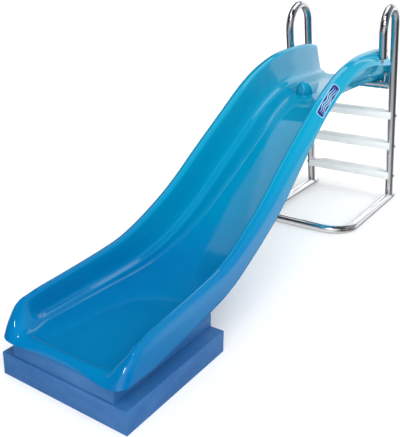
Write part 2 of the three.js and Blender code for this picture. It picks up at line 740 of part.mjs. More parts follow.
// Gives an open sheet a thickness on its lower side and closes its edge.
function thicken({ points, faces }, thicknessAt, lift = 0) {
  const sheet = new THREE.BufferGeometry();
  sheet.setAttribute('position', new THREE.Float32BufferAttribute(points.flat(), 3));
  sheet.setIndex(faces);
  sheet.computeVertexNormals();
  const normal = sheet.attributes.normal;
  const count = points.length;
  const shift = (offsetAt) => points.map((point, k) => {
    const offset = offsetAt(point);
    return [point[0] + normal.getX(k) * offset, point[1] + normal.getY(k) * offset,
      point[2] + normal.getZ(k) * offset];
  });
  const index = [...faces];
  for (let k = 0; k < faces.length; k += 3) {
    index.push(faces[k] + count, faces[k + 2] + count, faces[k + 1] + count);
  }
  const edges = new Map();
  for (let k = 0; k < faces.length; k += 3) {
    for (let e = 0; e < 3; e += 1) {
      edges.set(`${faces[k + e]}_${faces[k + ((e + 1) % 3)]}`, [faces[k + e], faces[k + ((e + 1) % 3)]]);
    }
  }
  for (const [a, b] of edges.values()) {
    if (!edges.has(`${b}_${a}`)) index.push(b, a, a + count, b, a + count, b + count);
  }
  const geometry = new THREE.BufferGeometry();
  geometry.setAttribute('position', new THREE.Float32BufferAttribute(
    [...shift(() => lift), ...shift((point) => lift - thicknessAt(point))].flat(), 3));
  geometry.setIndex(index);
  return geometry;
}

// ---- Chute and what is fixed to it --------------------------------------------------------------

const crossbarY = ladderY(CROSSBAR_Z);
const legAxis = (distance) => along(hoopEnd, upDirection, distance);
const domeFoot = () => place(DOME_X, 0, DOME_S);
const domeNormal = () => {
  const { angle } = pathAt(DOME_S);
  return [0, -Math.sin(angle), Math.cos(angle)];
};

function chute(sheet) {
  const legSeat = rod(legAxis(-SEAT_BELOW), legAxis(SEAT_ABOVE), RAIL_RADIUS + LEG_SEAT_CLEARANCE, 24);
  const skirtHole = rod([-SKIRT_X - 20, hoopEnd[1], HOOP_BOLT_Z],
    [-TONGUE_IN + 5, hoopEnd[1], HOOP_BOLT_Z], BOLT_RADIUS + BOLT_CLEARANCE);
  const wallHole = rod([-WALL_TAB_X - 20, crossbarY, WALL_BOLT_Z],
    [-WALL_TAB_X + 30, crossbarY, WALL_BOLT_Z], BOLT_RADIUS + BOLT_CLEARANCE);
  const sides = [legSeat, skirtHole, wallHole];
  const spigotHole = rod(along(domeFoot(), domeNormal(), -DRILL_REACH),
    along(domeFoot(), domeNormal(), DRILL_REACH), SPIGOT_RADIUS + GAP, 20);
  return cut(thicken(sheet, laminate), ...sides, ...sides.map(mirrored), spigotHole);
}

function hoopPlug() {
  const down = upDirection.map((value) => -value);
  const plug = aim(tubePlug(), hoopEnd, down);
  const tongue = box([-TONGUE_OUT, hoopEnd[1] - TONGUE_HALF_DEPTH, TONGUE_LOW_Z],
    [-TONGUE_IN, hoopEnd[1] + TONGUE_HALF_DEPTH, TONGUE_TOP_Z]);
  const hole = rod([-SKIRT_X, hoopEnd[1], HOOP_BOLT_Z], [-TONGUE_IN + 5, hoopEnd[1], HOOP_BOLT_Z],
    BOLT_RADIUS + BOLT_CLEARANCE);
  return cut(join(plug, tongue), hole);
}

function crossbar() {
  const reach = RAIL_SPACING / 2;
  const bar = rod([-reach, crossbarY, CROSSBAR_Z], [reach, crossbarY, CROSSBAR_Z],
    CROSSBAR_RADIUS, 20);
  const bore = rod([-reach - 5, crossbarY, CROSSBAR_Z], [reach + 5, crossbarY, CROSSBAR_Z],
    CROSSBAR_RADIUS - CROSSBAR_WALL, 16);
  const rail = (side) => rod(
    [side * railHalf, ladderY(CROSSBAR_Z - TRIM_REACH), CROSSBAR_Z - TRIM_REACH],
    [side * railHalf, ladderY(CROSSBAR_Z + TRIM_REACH), CROSSBAR_Z + TRIM_REACH],
    RAIL_RADIUS + GAP, 32);
  const drill = (side) => rod([side * BAR_BOLT_X, crossbarY, CROSSBAR_Z - DRILL_REACH],
    [side * BAR_BOLT_X, crossbarY, CROSSBAR_Z + DRILL_REACH], BOLT_RADIUS + BOLT_CLEARANCE);
  return cut(bar, bore, rail(-1), rail(1), drill(-1), drill(1));
}

function crossbarSleeve() {
  const ring = ringShape(CROSSBAR_RADIUS + 3, CROSSBAR_RADIUS + GAP, 20);
  const sleeve = new THREE.ExtrudeGeometry(ring, {
    depth: SLEEVE_TO - SLEEVE_FROM, bevelEnabled: false, curveSegments: 1,
  });
  return sleeve.rotateY(-Math.PI / 2).translate(-SLEEVE_FROM, crossbarY, CROSSBAR_Z);
}

function chuteBracket() {
  const seat = CROSSBAR_Z + CROSSBAR_RADIUS + GAP;
  const outer = -WALL_TAB_X - BRACKET_PLATE;
  const near = crossbarY - BRACKET_HALF_WIDTH;
  const far = crossbarY + BRACKET_HALF_WIDTH;
  const leg = box([outer, near, seat], [-BAR_BOLT_X + 14, far, seat + BRACKET_PLATE]);
  const tab = box([outer, near, seat], [-WALL_TAB_X, far, BRACKET_TOP_Z]);
  const wallHole = rod([outer - 5, crossbarY, WALL_BOLT_Z], [-WALL_TAB_X + 5, crossbarY, WALL_BOLT_Z],
    BOLT_RADIUS + BOLT_CLEARANCE);
  const barHole = rod([-BAR_BOLT_X, crossbarY, seat - 5], [-BAR_BOLT_X, crossbarY, seat + 10],
    BOLT_RADIUS + BOLT_CLEARANCE);
  return cut(join(leg, tab), wallHole, barHole);
}

function bracketBarBolt() {
  const top = CROSSBAR_Z + CROSSBAR_RADIUS + BRACKET_PLATE + 2 * GAP;
  return aim(hexBolt(BOLT_RADIUS, 2 * CROSSBAR_RADIUS + BRACKET_PLATE + 5),
    [-BAR_BOLT_X, crossbarY, top], [0, 0, -1]);
}

function domeNut() {
  const inner = BOLT_RADIUS + GAP;
  const nut = turned([[0, -13], [3, -12.4], [5.6, -10.4], [7.4, -7], [7.4, 0], [inner, 0],
    [inner, -6], [0, -6]], 12);
  return nut.translate(-BAR_BOLT_X, crossbarY, CROSSBAR_Z - CROSSBAR_RADIUS - GAP);
}

// Patch of the trough between two distances, used to fit the nozzle hood to the moulding.
function troughPatch(from, to) {
  const distances = Array.from({ length: 7 }, (_, k) => THREE.MathUtils.lerp(from, to, k / 6));
  const rows = troughRows(distances);
  const columns = rows[0].length;
  const points = rows.flat().map(([u, v, s]) => place(u, v, s));
  const faces = [];
  for (let i = 0; i < rows.length - 1; i += 1) {
    for (let j = 0; j < columns - 1; j += 1) {
      const a = i * columns + j;
      faces.push(a, a + columns, a + columns + 1, a, a + columns + 1, a + 1);
    }
  }
  return { points, faces };
}

function waterNozzle() {
  const dome = (radius, height) => {
    const arc = Array.from({ length: 7 }, (_, k) => (Math.PI / 2) * (k / 6));
    const outline = arc.map((t) => [radius * Math.cos(t), height * Math.sin(t)]);
    return turned([[0, -14], [radius, -14], ...outline.slice(0, 6), [0, height]], 32);
  };
  const hood = aim(dome(DOME_RADIUS, DOME_HEIGHT), domeFoot(), domeNormal());
  const hollow = aim(dome(DOME_RADIUS - DOME_WALL, DOME_HEIGHT - DOME_WALL), domeFoot(), domeNormal());
  const below = thicken(troughPatch(DOME_S - DOME_BLEND, DOME_S + DOME_BLEND), () => 45, 1.2);
  const mouthFrom = along(along(domeFoot(), domeNormal(), MOUTH_HEIGHT), [1, 0, 0], DOME_RADIUS * 0.4);
  const mouthTo = along(along(mouthFrom, [1, 0, 0], MOUTH_ACROSS), [0, -1, 0], MOUTH_FORWARD);
  return cut(hood, hollow, below, rod(mouthFrom, mouthTo, MOUTH_RADIUS, 16));
}

function spigot() {
  const profile = [[SPIGOT_BORE, SPIGOT_LOW], [SPIGOT_RADIUS - SPIGOT_CHAMFER, SPIGOT_LOW],
    [SPIGOT_RADIUS, SPIGOT_CHAMFER_LOW], [SPIGOT_RADIUS, FLANGE_LOW], [FLANGE_RADIUS, FLANGE_LOW],
    [FLANGE_RADIUS, FLANGE_TOP], [SPIGOT_BORE, FLANGE_TOP], [SPIGOT_BORE, SPIGOT_LOW]];
  return aim(turned(profile, 20), domeFoot(), domeNormal());
}

function spigotGasket() {
  const inner = SPIGOT_RADIUS + GAP;
  const low = -SHELL - GASKET_LOW;
  const high = -SHELL - GASKET_TOP;
  const profile = [[inner, low], [GASKET_RADIUS, low], [GASKET_RADIUS, high], [inner, high],
    [inner, low]];
  return aim(turned(profile, 20), domeFoot(), domeNormal());
}

function spigotLocknut() {
  const nut = new THREE.CylinderGeometry(LOCKNUT_RADIUS, LOCKNUT_RADIUS, LOCKNUT_HEIGHT, 6)
    .rotateX(Math.PI / 2);
  const bore = new THREE.CylinderGeometry(SPIGOT_RADIUS + GAP, SPIGOT_RADIUS + GAP, 20, 20)
    .rotateX(Math.PI / 2);
  const ring = cut(nut, bore).translate(0, 0, -SHELL - LOCKNUT_BELOW);
  return aim(ring, domeFoot(), domeNormal());
}

// Printed badge on the right lip: the lip's own facets between two stations, raised a little.
function labelPlate(sheet) {
  const { points, faces } = sheet;
  const inside = (k) => points[k][0] > LABEL_INNER_X && points[k][1] < LABEL_REAR_Y
    && points[k][1] > LABEL_FRONT_Y;
  const kept = [];
  for (let k = 0; k < faces.length; k += 3) {
    const corners = faces.slice(k, k + 3);
    if (corners.every(inside)) kept.push(...corners);
  }
  const used = [...new Set(kept)];
  const patch = { points: used.map((k) => points[k]), faces: kept.map((k) => used.indexOf(k)) };
  return thicken(patch, () => LABEL_LIFT, LABEL_THICKNESS);
}

// ---- Plinth -----------------------------------------------------------------------------------

const exitFloorZ = pathAt(PATH_LENGTH).z;
const upperTop = exitFloorZ + SECTION_KEYS[SECTION_KEYS.length - 1].low - GAP;

function plinthBlock({ width, depth, frontY }, low, high) {
  const outline = [[-width / 2, low], [width / 2, low], [width / 2, high - BLOCK_EDGE],
    [width / 2 - BLOCK_EDGE, high], [-width / 2 + BLOCK_EDGE, high],
    [-width / 2, high - BLOCK_EDGE]];
  return extrudeY(outline, frontY, frontY + depth);
}

function restPad(frontY) {
  return box([-REST_PAD_HALF_WIDTH, frontY, upperTop + GAP],
    [REST_PAD_HALF_WIDTH, frontY + REST_PAD_DEPTH, exitFloorZ - SHELL - GAP]);
}

// ---- Assembly -----------------------------------------------------------------------------------

function ladderParts() {
  const parts = [
    ...pair('hand_rail', leftRail(), STEEL),
    part('base_frame', baseFrame(), STEEL),
    ...pair('base_plug', aim(tubePlug(), [-railHalf, BASE_REAR_Y, FLOOR_TUBE_Z], [0, 1, 0]),
      BLACK_PLASTIC),
  ];
  TREAD_HEIGHTS.forEach((height, k) => {
    parts.push(part(`tread_${TREAD_NAMES[k]}`, tread(height), TREAD_WHITE));
    parts.push(...pair(`tread_bolt_${TREAD_NAMES[k]}`, treadBolt(height), STEEL));
  });
  return parts;
}

function fixingParts() {
  const wallBolt = aim(hexBolt(BOLT_RADIUS, WALL_BOLT_LENGTH),
    [-WALL_TAB_X - BRACKET_PLATE - GAP, crossbarY, WALL_BOLT_Z], [1, 0, 0]);
  const hoopBolt = aim(hexBolt(BOLT_RADIUS, HOOP_BOLT_LENGTH),
    [-SKIRT_X, hoopEnd[1], HOOP_BOLT_Z], [1, 0, 0]);
  return [
    ...pair('hoop_plug', hoopPlug(), BLACK_PLASTIC),
    ...pair('hoop_bolt', hoopBolt, STEEL),
    part('crossbar', crossbar(), STEEL),
    ...pair('crossbar_sleeve', crossbarSleeve(), STEEL),
    ...pair('chute_bracket', chuteBracket(), STEEL),
    ...pair('wall_bolt', wallBolt, STEEL),
    ...pair('bar_bolt', bracketBarBolt(), STEEL),
    ...pair('dome_nut', domeNut(), STEEL),
  ];
}

function chuteParts() {
  const sheet = chuteSheet();
  return [
    part('chute', chute(sheet), GELCOAT),
    part('label_plate', labelPlate(sheet), LABEL_FILM),
    part('water_nozzle', waterNozzle(), GELCOAT),
    part('water_spigot', spigot(), BLACK_PLASTIC),
    part('spigot_gasket', spigotGasket(), RUBBER),
    part('spigot_locknut', spigotLocknut(), BLACK_PLASTIC),
  ];
}

function plinthParts() {
  return [
    part('base_block_lower', plinthBlock(BLOCK_LOWER, 0, BLOCK_LOWER.height), PLINTH_PAINT),
    part('base_block_upper', plinthBlock(BLOCK_UPPER, BLOCK_LOWER.height + GAP, upperTop),
      PLINTH_PAINT),
    part('rest_pad_front', restPad(REST_PAD_FRONT_Y), RUBBER),
    part('rest_pad_rear', restPad(REST_PAD_REAR_Y), RUBBER),
  ];
}

const design = new THREE.Group();
design.name = 'pool_slide_design';
design.add(...ladderParts(), ...fixingParts(), ...chuteParts(), ...plinthParts());

const bounds = new THREE.Box3().setFromObject(design);
design.position.set(0, -(bounds.min.y + bounds.max.y) / 2, -bounds.min.z);

const slide = new THREE.Group();
slide.name = 'pool_slide';
slide.add(design);

export default slide;
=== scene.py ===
import math
from math import cos, pi, radians, sin

import bmesh
import bpy
from mathutils import Matrix, Vector


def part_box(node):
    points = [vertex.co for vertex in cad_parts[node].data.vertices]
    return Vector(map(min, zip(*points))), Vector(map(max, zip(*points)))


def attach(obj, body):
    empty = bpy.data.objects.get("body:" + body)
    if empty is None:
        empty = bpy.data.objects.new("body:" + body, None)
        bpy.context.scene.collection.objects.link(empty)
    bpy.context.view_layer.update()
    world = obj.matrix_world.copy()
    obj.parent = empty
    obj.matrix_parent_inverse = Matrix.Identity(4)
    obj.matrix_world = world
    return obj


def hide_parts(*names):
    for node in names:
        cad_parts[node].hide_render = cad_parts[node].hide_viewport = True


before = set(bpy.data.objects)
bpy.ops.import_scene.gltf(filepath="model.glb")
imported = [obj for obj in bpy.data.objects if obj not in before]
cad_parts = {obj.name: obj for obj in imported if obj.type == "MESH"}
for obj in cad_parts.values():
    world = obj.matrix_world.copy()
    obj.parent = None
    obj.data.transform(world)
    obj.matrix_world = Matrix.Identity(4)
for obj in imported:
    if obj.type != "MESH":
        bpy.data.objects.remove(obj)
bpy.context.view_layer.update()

# ---- Driving dimensions, in millimetres, in the design frame whose y = 0 is the ladder's foot line ----

LEAN = radians(11.8)
RAIL_HALF = 250.0
RAIL_RADIUS = 21.5
RAIL_WALL = 1.5
FLOOR_TUBE_Z = RAIL_RADIUS
HOOP_RADIUS = 108.0
HOOP_CENTRE_Z = 1048.0
HOOP_SPLAY = 10.0
HOOP_END_Z = 908.0
BASE_FRONT_Y = -712.0
BASE_REAR_Y = 60.0
BASE_BEND = 130.0
TREADS = {"lower": 183.0, "middle": 375.0, "upper": 566.0}
TREAD_DEPTH = 41.0
TREAD_FRONT = 31.5
TREAD_REAR = 64.0
TREAD_TAB_HALF = 252.0
TREAD_BOLT_BELOW = 22.0
TREAD_EDGE_RADIUS = 7.0
TREAD_EDGE = 0.5
TREAD_WALL = 3.6
RIB_PITCH = 4.6
RIB_DEPTH = 1.1
WEB_PLACES = (-150, -75, 0, 75, 150)
WEB_HALF = 1.5
WEB_LOW = 24.0
WEB_TOP = 4.0
TREAD_HOLLOW_X = (187.0, 232.0)
TREAD_HOLLOW_RADIUS = 45.0
CROSSBAR_Z = 724.0
CROSSBAR_RADIUS = 12.5
BOLT_RADIUS = 4.0
HEAD_WIDTH = 3.7
HEAD_HEIGHT = 1.45
WASHER_WIDTH = 2.05
WASHER_THICKNESS = 1.2
NUT_WIDTH = 3.6
NUT_HEIGHT = 6.5
NUT_CAP_RADIUS = 5.9
NUT_CAP_HEIGHT = 6.3
BOLT_LENGTHS = {"tread": 20, "wall": 10, "bar": 30, "hoop": 22}
CLEARANCE = 0.2
METAL_EDGE = 0.5
FOOT_WELD = 2.2
BAR_WELD = 1.7
TRIM_REACH = 80.0

PLATFORM_REAR_Y = -105.0
PLATFORM_Z = 742.0
PLATFORM_FALL = radians(1.5)
SLOPE = radians(31)
PLATFORM_LENGTH = 425.0
CREST_RADIUS = 900.0
SLOPE_LENGTH = 519.0
SAG_RADIUS = 1150.0
RUNOUT_LENGTH = 556.0
SHELL = 5.0
CHUTE_EDGE = 0.9
EXIT_SHELL = 1.8
CROWN_INNER_RADIUS = 16.0
EXIT_TAPER = 100.0
EXIT_BLEND = 150.0
EXIT_RECESS = 52.0
EXIT_DIP = 9.0
EXIT_DIP_LENGTH = 22.0
EXIT_BEAD = 8.0
EXIT_BEAD_LENGTH = 24.0
EXIT_REACH = 16.0
EXIT_NOSE = 20.0
EXIT_CORNER_RADIUS = 44.0
EXIT_CORNER_LOW = 9.0
EXIT_TURN_LENGTH = 75.0
SKIRT_LEAN = (0.8, 1.5)
LIP_STEPS = 6
LIP_SEARCH = 150.0
LIP_HALVINGS = 30
LIP_TURN = radians(68)
REAR_RISE = 8.0
REAR_RISE_LENGTH = 140.0
REAR_FADE = 450.0
REAR_BOW = 10.0
BOW_HALF_WIDTH = 150.0
REAR_FLARE = 22.0
REAR_FLARE_LENGTH = 16.0
REAR_RAKE = 60.0
REAR_RELIEF = 116.0
APRON_ROLL = 10.0
APRON_LOW = -50.0
APRON_RIM = 40.0
REAR_STATIONS = (0, 5, 10, 16, 26, 50, 80, 110)
STATION_SPACING = 46.0

# Where shape changes fade in: from a value (across, up or along), over a distance.
RAKE_UP = (60, 110)
RELIEF_ACROSS = (212, 36)
FLARE_UP = (6, 24)
FLARE_TOP = (90, 130)
FLARE_ACROSS = (200, 25)
BEAD_UP = (0, 30)
REAR_RISE_UP = (0, 40)
EXIT_DIP_UP = (50, 40)
EXIT_RECESS_ACROSS = (140, 116)
EXIT_NOSE_ACROSS = (60, 180)
STEEP_LIP_ALONG = (1900, 400)

# Half outline of the trough at its exit edge: across, up.
EXIT_OUTLINE = ((0, 0), (95, 0), (158, 0), (178, 2), (190, 9), (201, 22), (210, 37), (219, 51), (228, 66),
                (236, 82), (242, 93), (248, 99), (255, 102))

# Chute section at stations along the floor's middle line.
SECTION_NAMES = ("s", "floor", "ledge", "ledge_rise", "crown", "crown_rise", "roll", "low")
SECTION_KEYS = [dict(zip(SECTION_NAMES, row)) for row in (
    (0, 158, 187, 26, 208, 185, 53, 114),
    (170, 130, 170, 42, 201, 208, 59, 130),
    (500, 118, 165, 55, 200, 214, 58, 156),
    (780, 118, 166, 61, 202, 220, 54, 168),
    (1000, 118, 168, 66, 204, 225, 50, 168),
    (1400, 140, 180, 60, 214, 222, 42, 123),
    (1720, 162, 199, 40, 225, 196, 36, 96),
    (2050, 184, 213, 26, 238, 143, 30, 34),
    (2600, 206, 232, 10, 256, 101, 22, -24),
)]

DOME_RADIUS = 45.0
DOME_HEIGHT = 62.0
DOME_X = -70.0
DOME_S = 515.0

# Water fittings under the platform, as (radius, height) from the floor's surface.
SPIGOT_PROFILE = ((7, -62), (8.6, -62), (9.2, -60), (8.2, -56), (9.4, -52), (8.4, -48), (9.6, -44),
                  (9.8, -20), (9.8, 7), (12.5, 7), (12.5, 9.5), (7, 9.5), (7, -62))
GASKET_PROFILE = ((10.3, -9.6), (18.2, -9.6), (19, -8.8), (19, -8.0), (18.2, -7.2), (10.3, -7.2),
                  (10.3, -9.6))
LOCKNUT_WIDTH = 36.0
LOCKNUT_DEPTHS = (9.9, 18.9)

WALL_TAB_X = 199.0
WALL_BOLT_Z = 782.0
BAR_BOLT_X = 178.0
BRACKET_PLATE = 3.0
BRACKET_HALF_WIDTH = 11.5
BRACKET_TOP_Z = 793.0
BRACKET_BEND = 4.0
BRACKET_FOOT = 14.0
SLEEVE_FROM = 206.0
SLEEVE_TO = 227.0
SLEEVE_WALL = 3.0
SLEEVE_EDGE = 0.8
HOOP_BOLT_Z = 884.0
HOLE_GAP = 0.3
SKIRT_X = 262.0
TONGUE_IN = 238.0
TONGUE_OUT = 246.3
TONGUE_LOW_Z = 872.0
TONGUE_TOP_Z = 904.0
TONGUE_HALF_DEPTH = 12.0
SEAT_GAP = 2.5
SEAT_BELOW = 9.0
SEAT_ABOVE = 90.0

LABEL_S = 873.0
LABEL_W = 43.0
LABEL_HALF_LENGTH = 98.0
LABEL_HALF_HEIGHT = 23.0
LABEL_TILT = 0.02
LABEL_CORNER = 14.0
LABEL_BORDER = 4.0
LABEL_THICKNESS = 0.3
RIM_LIFT = 0.5
PLATE_LIFT = 0.8
WAVE_LIFT = 1.1
WAVE_OFFSETS = (-10.0, 0.0, 10.0)
WAVE_HEIGHT = 3.6
WAVE_HALF_WIDTH = 2.3
WAVE_REACH = 80.0
WAVE_COUNT = 2.5

# The frame's y of the design's foot line.
Y_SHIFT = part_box("base_frame")[1][1] * 1000 - BASE_REAR_Y


def row_point(point):
    """A design point in millimetres as a point of the frame in metres."""
    return Vector((point[0], point[1] + Y_SHIFT, point[2])) / 1000


# ---- Mesh helpers ----


def linked(name, data):
    obj = bpy.data.objects.new(name, data)
    bpy.context.scene.collection.objects.link(obj)
    return obj


def sheet_object(name, points, faces):
    mesh = bpy.data.meshes.new(name)
    mesh.from_pydata([row_point(p) for p in points], [], faces)
    return linked(name, mesh)


def mesh_object(name, points, faces, sharp=35):
    """A mesh with its faces outward, smooth except across sharp edges."""
    obj = sheet_object(name, points, faces)
    obj.data.validate()
    bm = bmesh.new()
    bm.from_mesh(obj.data)
    bmesh.ops.remove_doubles(bm, verts=bm.verts, dist=1e-6)
    bmesh.ops.recalc_face_normals(bm, faces=bm.faces)
    bm.to_mesh(obj.data)
    bm.free()
    shade(obj, sharp)
    return obj


def shade(obj, sharp):
    obj.data.shade_smooth()
    obj.data.set_sharp_from_angle(angle=radians(sharp))


def modify(obj, kind, **settings):
    modifier = obj.modifiers.new(kind.lower(), kind)
    for key, value in settings.items():
        setattr(modifier, key, value)


def bake(obj, sharp=35):
    """Applies the modifiers of an object."""
    graph = bpy.context.evaluated_depsgraph_get()
    mesh = bpy.data.meshes.new_from_object(obj.evaluated_get(graph))
    obj.modifiers.clear()
    old = obj.data
    obj.data = mesh
    bpy.data.meshes.remove(old)
    shade(obj, sharp)
    return obj


def boolean(obj, *tools, operation="DIFFERENCE"):
    for tool in tools:
        modify(obj, "BOOLEAN", operation=operation, solver="EXACT", object=tool)
    bake(obj)
    for tool in tools:
        bpy.data.objects.remove(tool)
    return obj


def bevel(obj, width, segments=2, angle=35):
    modify(obj, "BEVEL", width=width / 1000, segments=segments, limit_method="ANGLE",
           angle_limit=radians(angle))
    return bake(obj, 50)


def merged(name, *objects):
    bm = bmesh.new()
    for obj in objects:
        bm.from_mesh(obj.data)
    mesh = bpy.data.meshes.new(name)
    bm.to_mesh(mesh)
    bm.free()
    for obj in objects:
        bpy.data.objects.remove(obj)
    obj = linked(name, mesh)
    shade(obj, 35)
    return obj


def mirrored(obj, name):
    copy = linked(name, obj.data.copy())
    copy.data.transform(Matrix.Scale(-1, 4, (1, 0, 0)))
    copy.data.flip_normals()
    return copy


def finish(obj, look, *nodes):
    """Gives a piece the material of its look, hides the CAD nodes that it replaces and puts it under the
    root.
    """
    material, slot = look
    obj.data.materials.clear()
    obj.data.materials.append(material)
    if nodes:
        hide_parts(*nodes)
    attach(obj, "root")


def finish_pair(left, node, look):
    """Finishes a left-hand piece and its mirror image under the names of two CAD nodes."""
    left.name = f"{node}_left_fine"
    right = mirrored(left, f"{node}_right_fine")
    finish(left, look, f"{node}_left")
    finish(right, look, f"{node}_right")


def quarter(steps):
    """Angles of a quarter turn in equal steps, with both ends."""
    return [pi / 2 * k / steps for k in range(steps + 1)]


def circle(steps):
    """Angles of a full turn in equal steps."""
    return [2 * pi * k / steps for k in range(steps)]


def ring_points(middle, first, second, radius, sides):
    return [middle + (first * cos(a) + second * sin(a)) * radius for a in circle(sides)]


def skin(a, b):
    """Faces between two rings of point numbers; a ring of one number is a pole."""
    faces = []
    sides = max(len(a), len(b))
    for k in range(sides):
        m = (k + 1) % sides
        corners = list(dict.fromkeys([a[k % len(a)], a[m % len(a)], b[m % len(b)], b[k % len(b)]]))
        if len(corners) > 2:
            faces.append(corners)
    return faces


def grid_faces(rows, columns):
    """Quads of a grid of points that is filled row by row."""
    return [(a, a + columns, a + columns + 1, a + 1)
            for i in range(rows - 1) for a in range(i * columns, (i + 1) * columns - 1)]


def frame_of(direction):
    """Two unit vectors across a direction, and the direction's own."""
    axis = Vector(direction).normalized()
    side = Vector((1, 0, 0)) if abs(axis.x) < 0.9 else Vector((0, 1, 0))
    first = axis.cross(side).normalized()
    return first, axis.cross(first), axis


def turned(name, origin, direction, profile, sides=48, sharp=35):
    """A solid of revolution; the profile is a list of (radius, height) that starts and ends on the axis
    or closes on itself."""
    first, second, axis = frame_of(direction)
    start = Vector(origin)
    points, rings = [], []
    for radius, height in profile:
        if radius < 1e-6:
            rings.append([len(points)])
            points.append(start + axis * height)
            continue
        rings.append(list(range(len(points), len(points) + sides)))
        points += ring_points(start + axis * height, first, second, radius, sides)
    faces = [face for a, b in zip(rings, rings[1:]) for face in skin(a, b)]
    return mesh_object(name, points, faces, sharp)


def rod(start, end, radius, sides=48):
    span = Vector(end) - Vector(start)
    return turned("tool", start, span, [(0, 0), (radius, 0), (radius, span.length), (0, span.length)], sides)


def prism(name, outline, place_low, place_high):
    """A closed prism between two placements of one outline."""
    count = len(outline)
    points = [place_low(p) for p in outline] + [place_high(p) for p in outline]
    low, high = list(range(count)), list(range(count, 2 * count))
    return mesh_object(name, points, [low[::-1], high, *skin(low, high)])


def box_piece(name, low, high):
    outline = [(low[0], low[1]), (high[0], low[1]), (high[0], high[1]), (low[0], high[1])]
    return prism(name, outline, lambda p: (*p, low[2]), lambda p: (*p, high[2]))


# ---- Swept tubes ----


def bent_path(corners, radius, per_bend=24, straight_step=60.0):
    """Points and tangents along a polyline whose inner corners are rounded to one radius."""
    pts = [Vector(c) for c in corners]
    heads = [(b - a).normalized() for a, b in zip(pts, pts[1:])]
    path = [(pts[0], heads[0])]

    def run_to(end, heading):
        begin = path[-1][0]
        count = max(1, round((end - begin).length / straight_step))
        for k in range(1, count + 1):
            path.append((begin.lerp(end, k / count), heading))

    for corner, before, after in zip(pts[1:-1], heads, heads[1:]):
        turn = before.angle(after)
        inward = (after - before * after.dot(before)).normalized()
        start = corner - before * radius * math.tan(turn / 2)
        if (start - path[-1][0]).length > 0.5:
            run_to(start, before)
        for k in range(1, per_bend + 1):
            angle = turn * k / per_bend
            point = start + before * radius * sin(angle) + inward * radius * (1 - cos(angle))
            path.append((point, before * cos(angle) + inward * sin(angle)))
    if (pts[-1] - path[-1][0]).length > 0.5:
        run_to(pts[-1], heads[-1])
    return path


def swept(name, path, radius, sides=40, closed=False, bore=None):
    """A round tube along a path; with a bore it is hollow and open at both ends."""
    normal = frame_of(path[0][1])[0]
    rings = []
    points = []
    for index, (point, tangent) in enumerate(path):
        normal = (normal - tangent * normal.dot(tangent)).normalized()
        across = tangent.cross(normal)
        size = radius(index) if callable(radius) else radius
        for r in ([size] if bore is None else [size, bore]):
            rings.append(list(range(len(points), len(points) + sides)))
            points += ring_points(point, normal, across, r, sides)
    faces = []
    layers = 1 if bore is None else 2
    for layer in range(layers):
        line = rings[layer::layers]
        for a, b in zip(line, line[1:]):
            faces += skin(a, b)
        if closed:
            faces += skin(line[-1], line[0])
    if bore is not None:
        faces += skin(rings[0], rings[1]) + skin(rings[-2], rings[-1])
    elif not closed:
        faces.append(rings[0][::-1])
        faces.append(rings[-1])
    return mesh_object(name, points, faces, 50)


def weld_bead(name, loop, size):
    """A closed weld bead with ripples along a loop of points."""
    count = len(loop)
    path = []
    for k in range(count):
        tangent = (loop[(k + 1) % count] - loop[k - 1]).normalized()
        path.append((loop[k], tangent))
    return swept(name, path, lambda k: size * (1 + 0.13 * sin(k * pi / 2)), 10, closed=True)


# ---- Ladder ----

UP = Vector((0, -sin(LEAN), cos(LEAN)))
FORWARD = Vector((0, -cos(LEAN), -sin(LEAN)))


def ladder_y(z):
    return -(z - FLOOR_TUBE_Z) * math.tan(LEAN)


def rail_tool(side, low, high, clearance, sides=96):
    """A cutter along one ladder rail between two heights."""
    ends = [(side * RAIL_HALF, ladder_y(z), z) for z in (low, high)]
    return rod(*ends, RAIL_RADIUS + clearance, sides)


def finish_beads(name, loop, size, weld):
    """A weld bead along a loop on the left-hand side, and its mirror image."""
    bead = weld_bead(f"{name}_left", loop, size)
    other = mirrored(bead, f"{name}_right")
    finish(bead, weld)
    finish(other, weld)


HOOP_CENTRE_Y = ladder_y(HOOP_CENTRE_Z) - HOOP_RADIUS / cos(LEAN)
HOOP_CENTRE = Vector((-RAIL_HALF, HOOP_CENTRE_Y, HOOP_CENTRE_Z))
HOOP_FRONT = HOOP_CENTRE + UP * HOOP_RADIUS + FORWARD * HOOP_RADIUS
HOOP_END = HOOP_FRONT - UP * ((HOOP_FRONT.z - HOOP_END_Z) / cos(LEAN))
HOOP_END.x = -RAIL_HALF - HOOP_SPLAY


def make_rails(steel, weld):
    apex = HOOP_CENTRE + UP * HOOP_RADIUS
    rear = apex - FORWARD * HOOP_RADIUS
    front = apex + FORWARD * HOOP_RADIUS
    front.x -= HOOP_SPLAY
    foot = Vector((-RAIL_HALF, 0, FLOOR_TUBE_Z))
    path = bent_path([foot, rear, front, HOOP_END], HOOP_RADIUS - 0.6, 40)
    rail = swept("rail", path, RAIL_RADIUS, 56, bore=RAIL_RADIUS - RAIL_WALL)
    saddle = rod((-RAIL_HALF, -TRIM_REACH, FLOOR_TUBE_Z), (-RAIL_HALF, TRIM_REACH, FLOOR_TUBE_Z),
                 RAIL_RADIUS + CLEARANCE, 96)
    finish_pair(boolean(rail, saddle), "hand_rail", steel)
    across = Vector((1, 0, 0))
    along = UP.cross(across).normalized()
    loop = []
    for angle in circle(120):
        height = RAIL_RADIUS * (abs(sin(angle)) - sin(angle) * along.z) / UP.z
        loop.append(foot + (across * cos(angle) + along * sin(angle)) * RAIL_RADIUS + UP * height)
    finish_beads("foot_weld", loop, FOOT_WELD, weld)


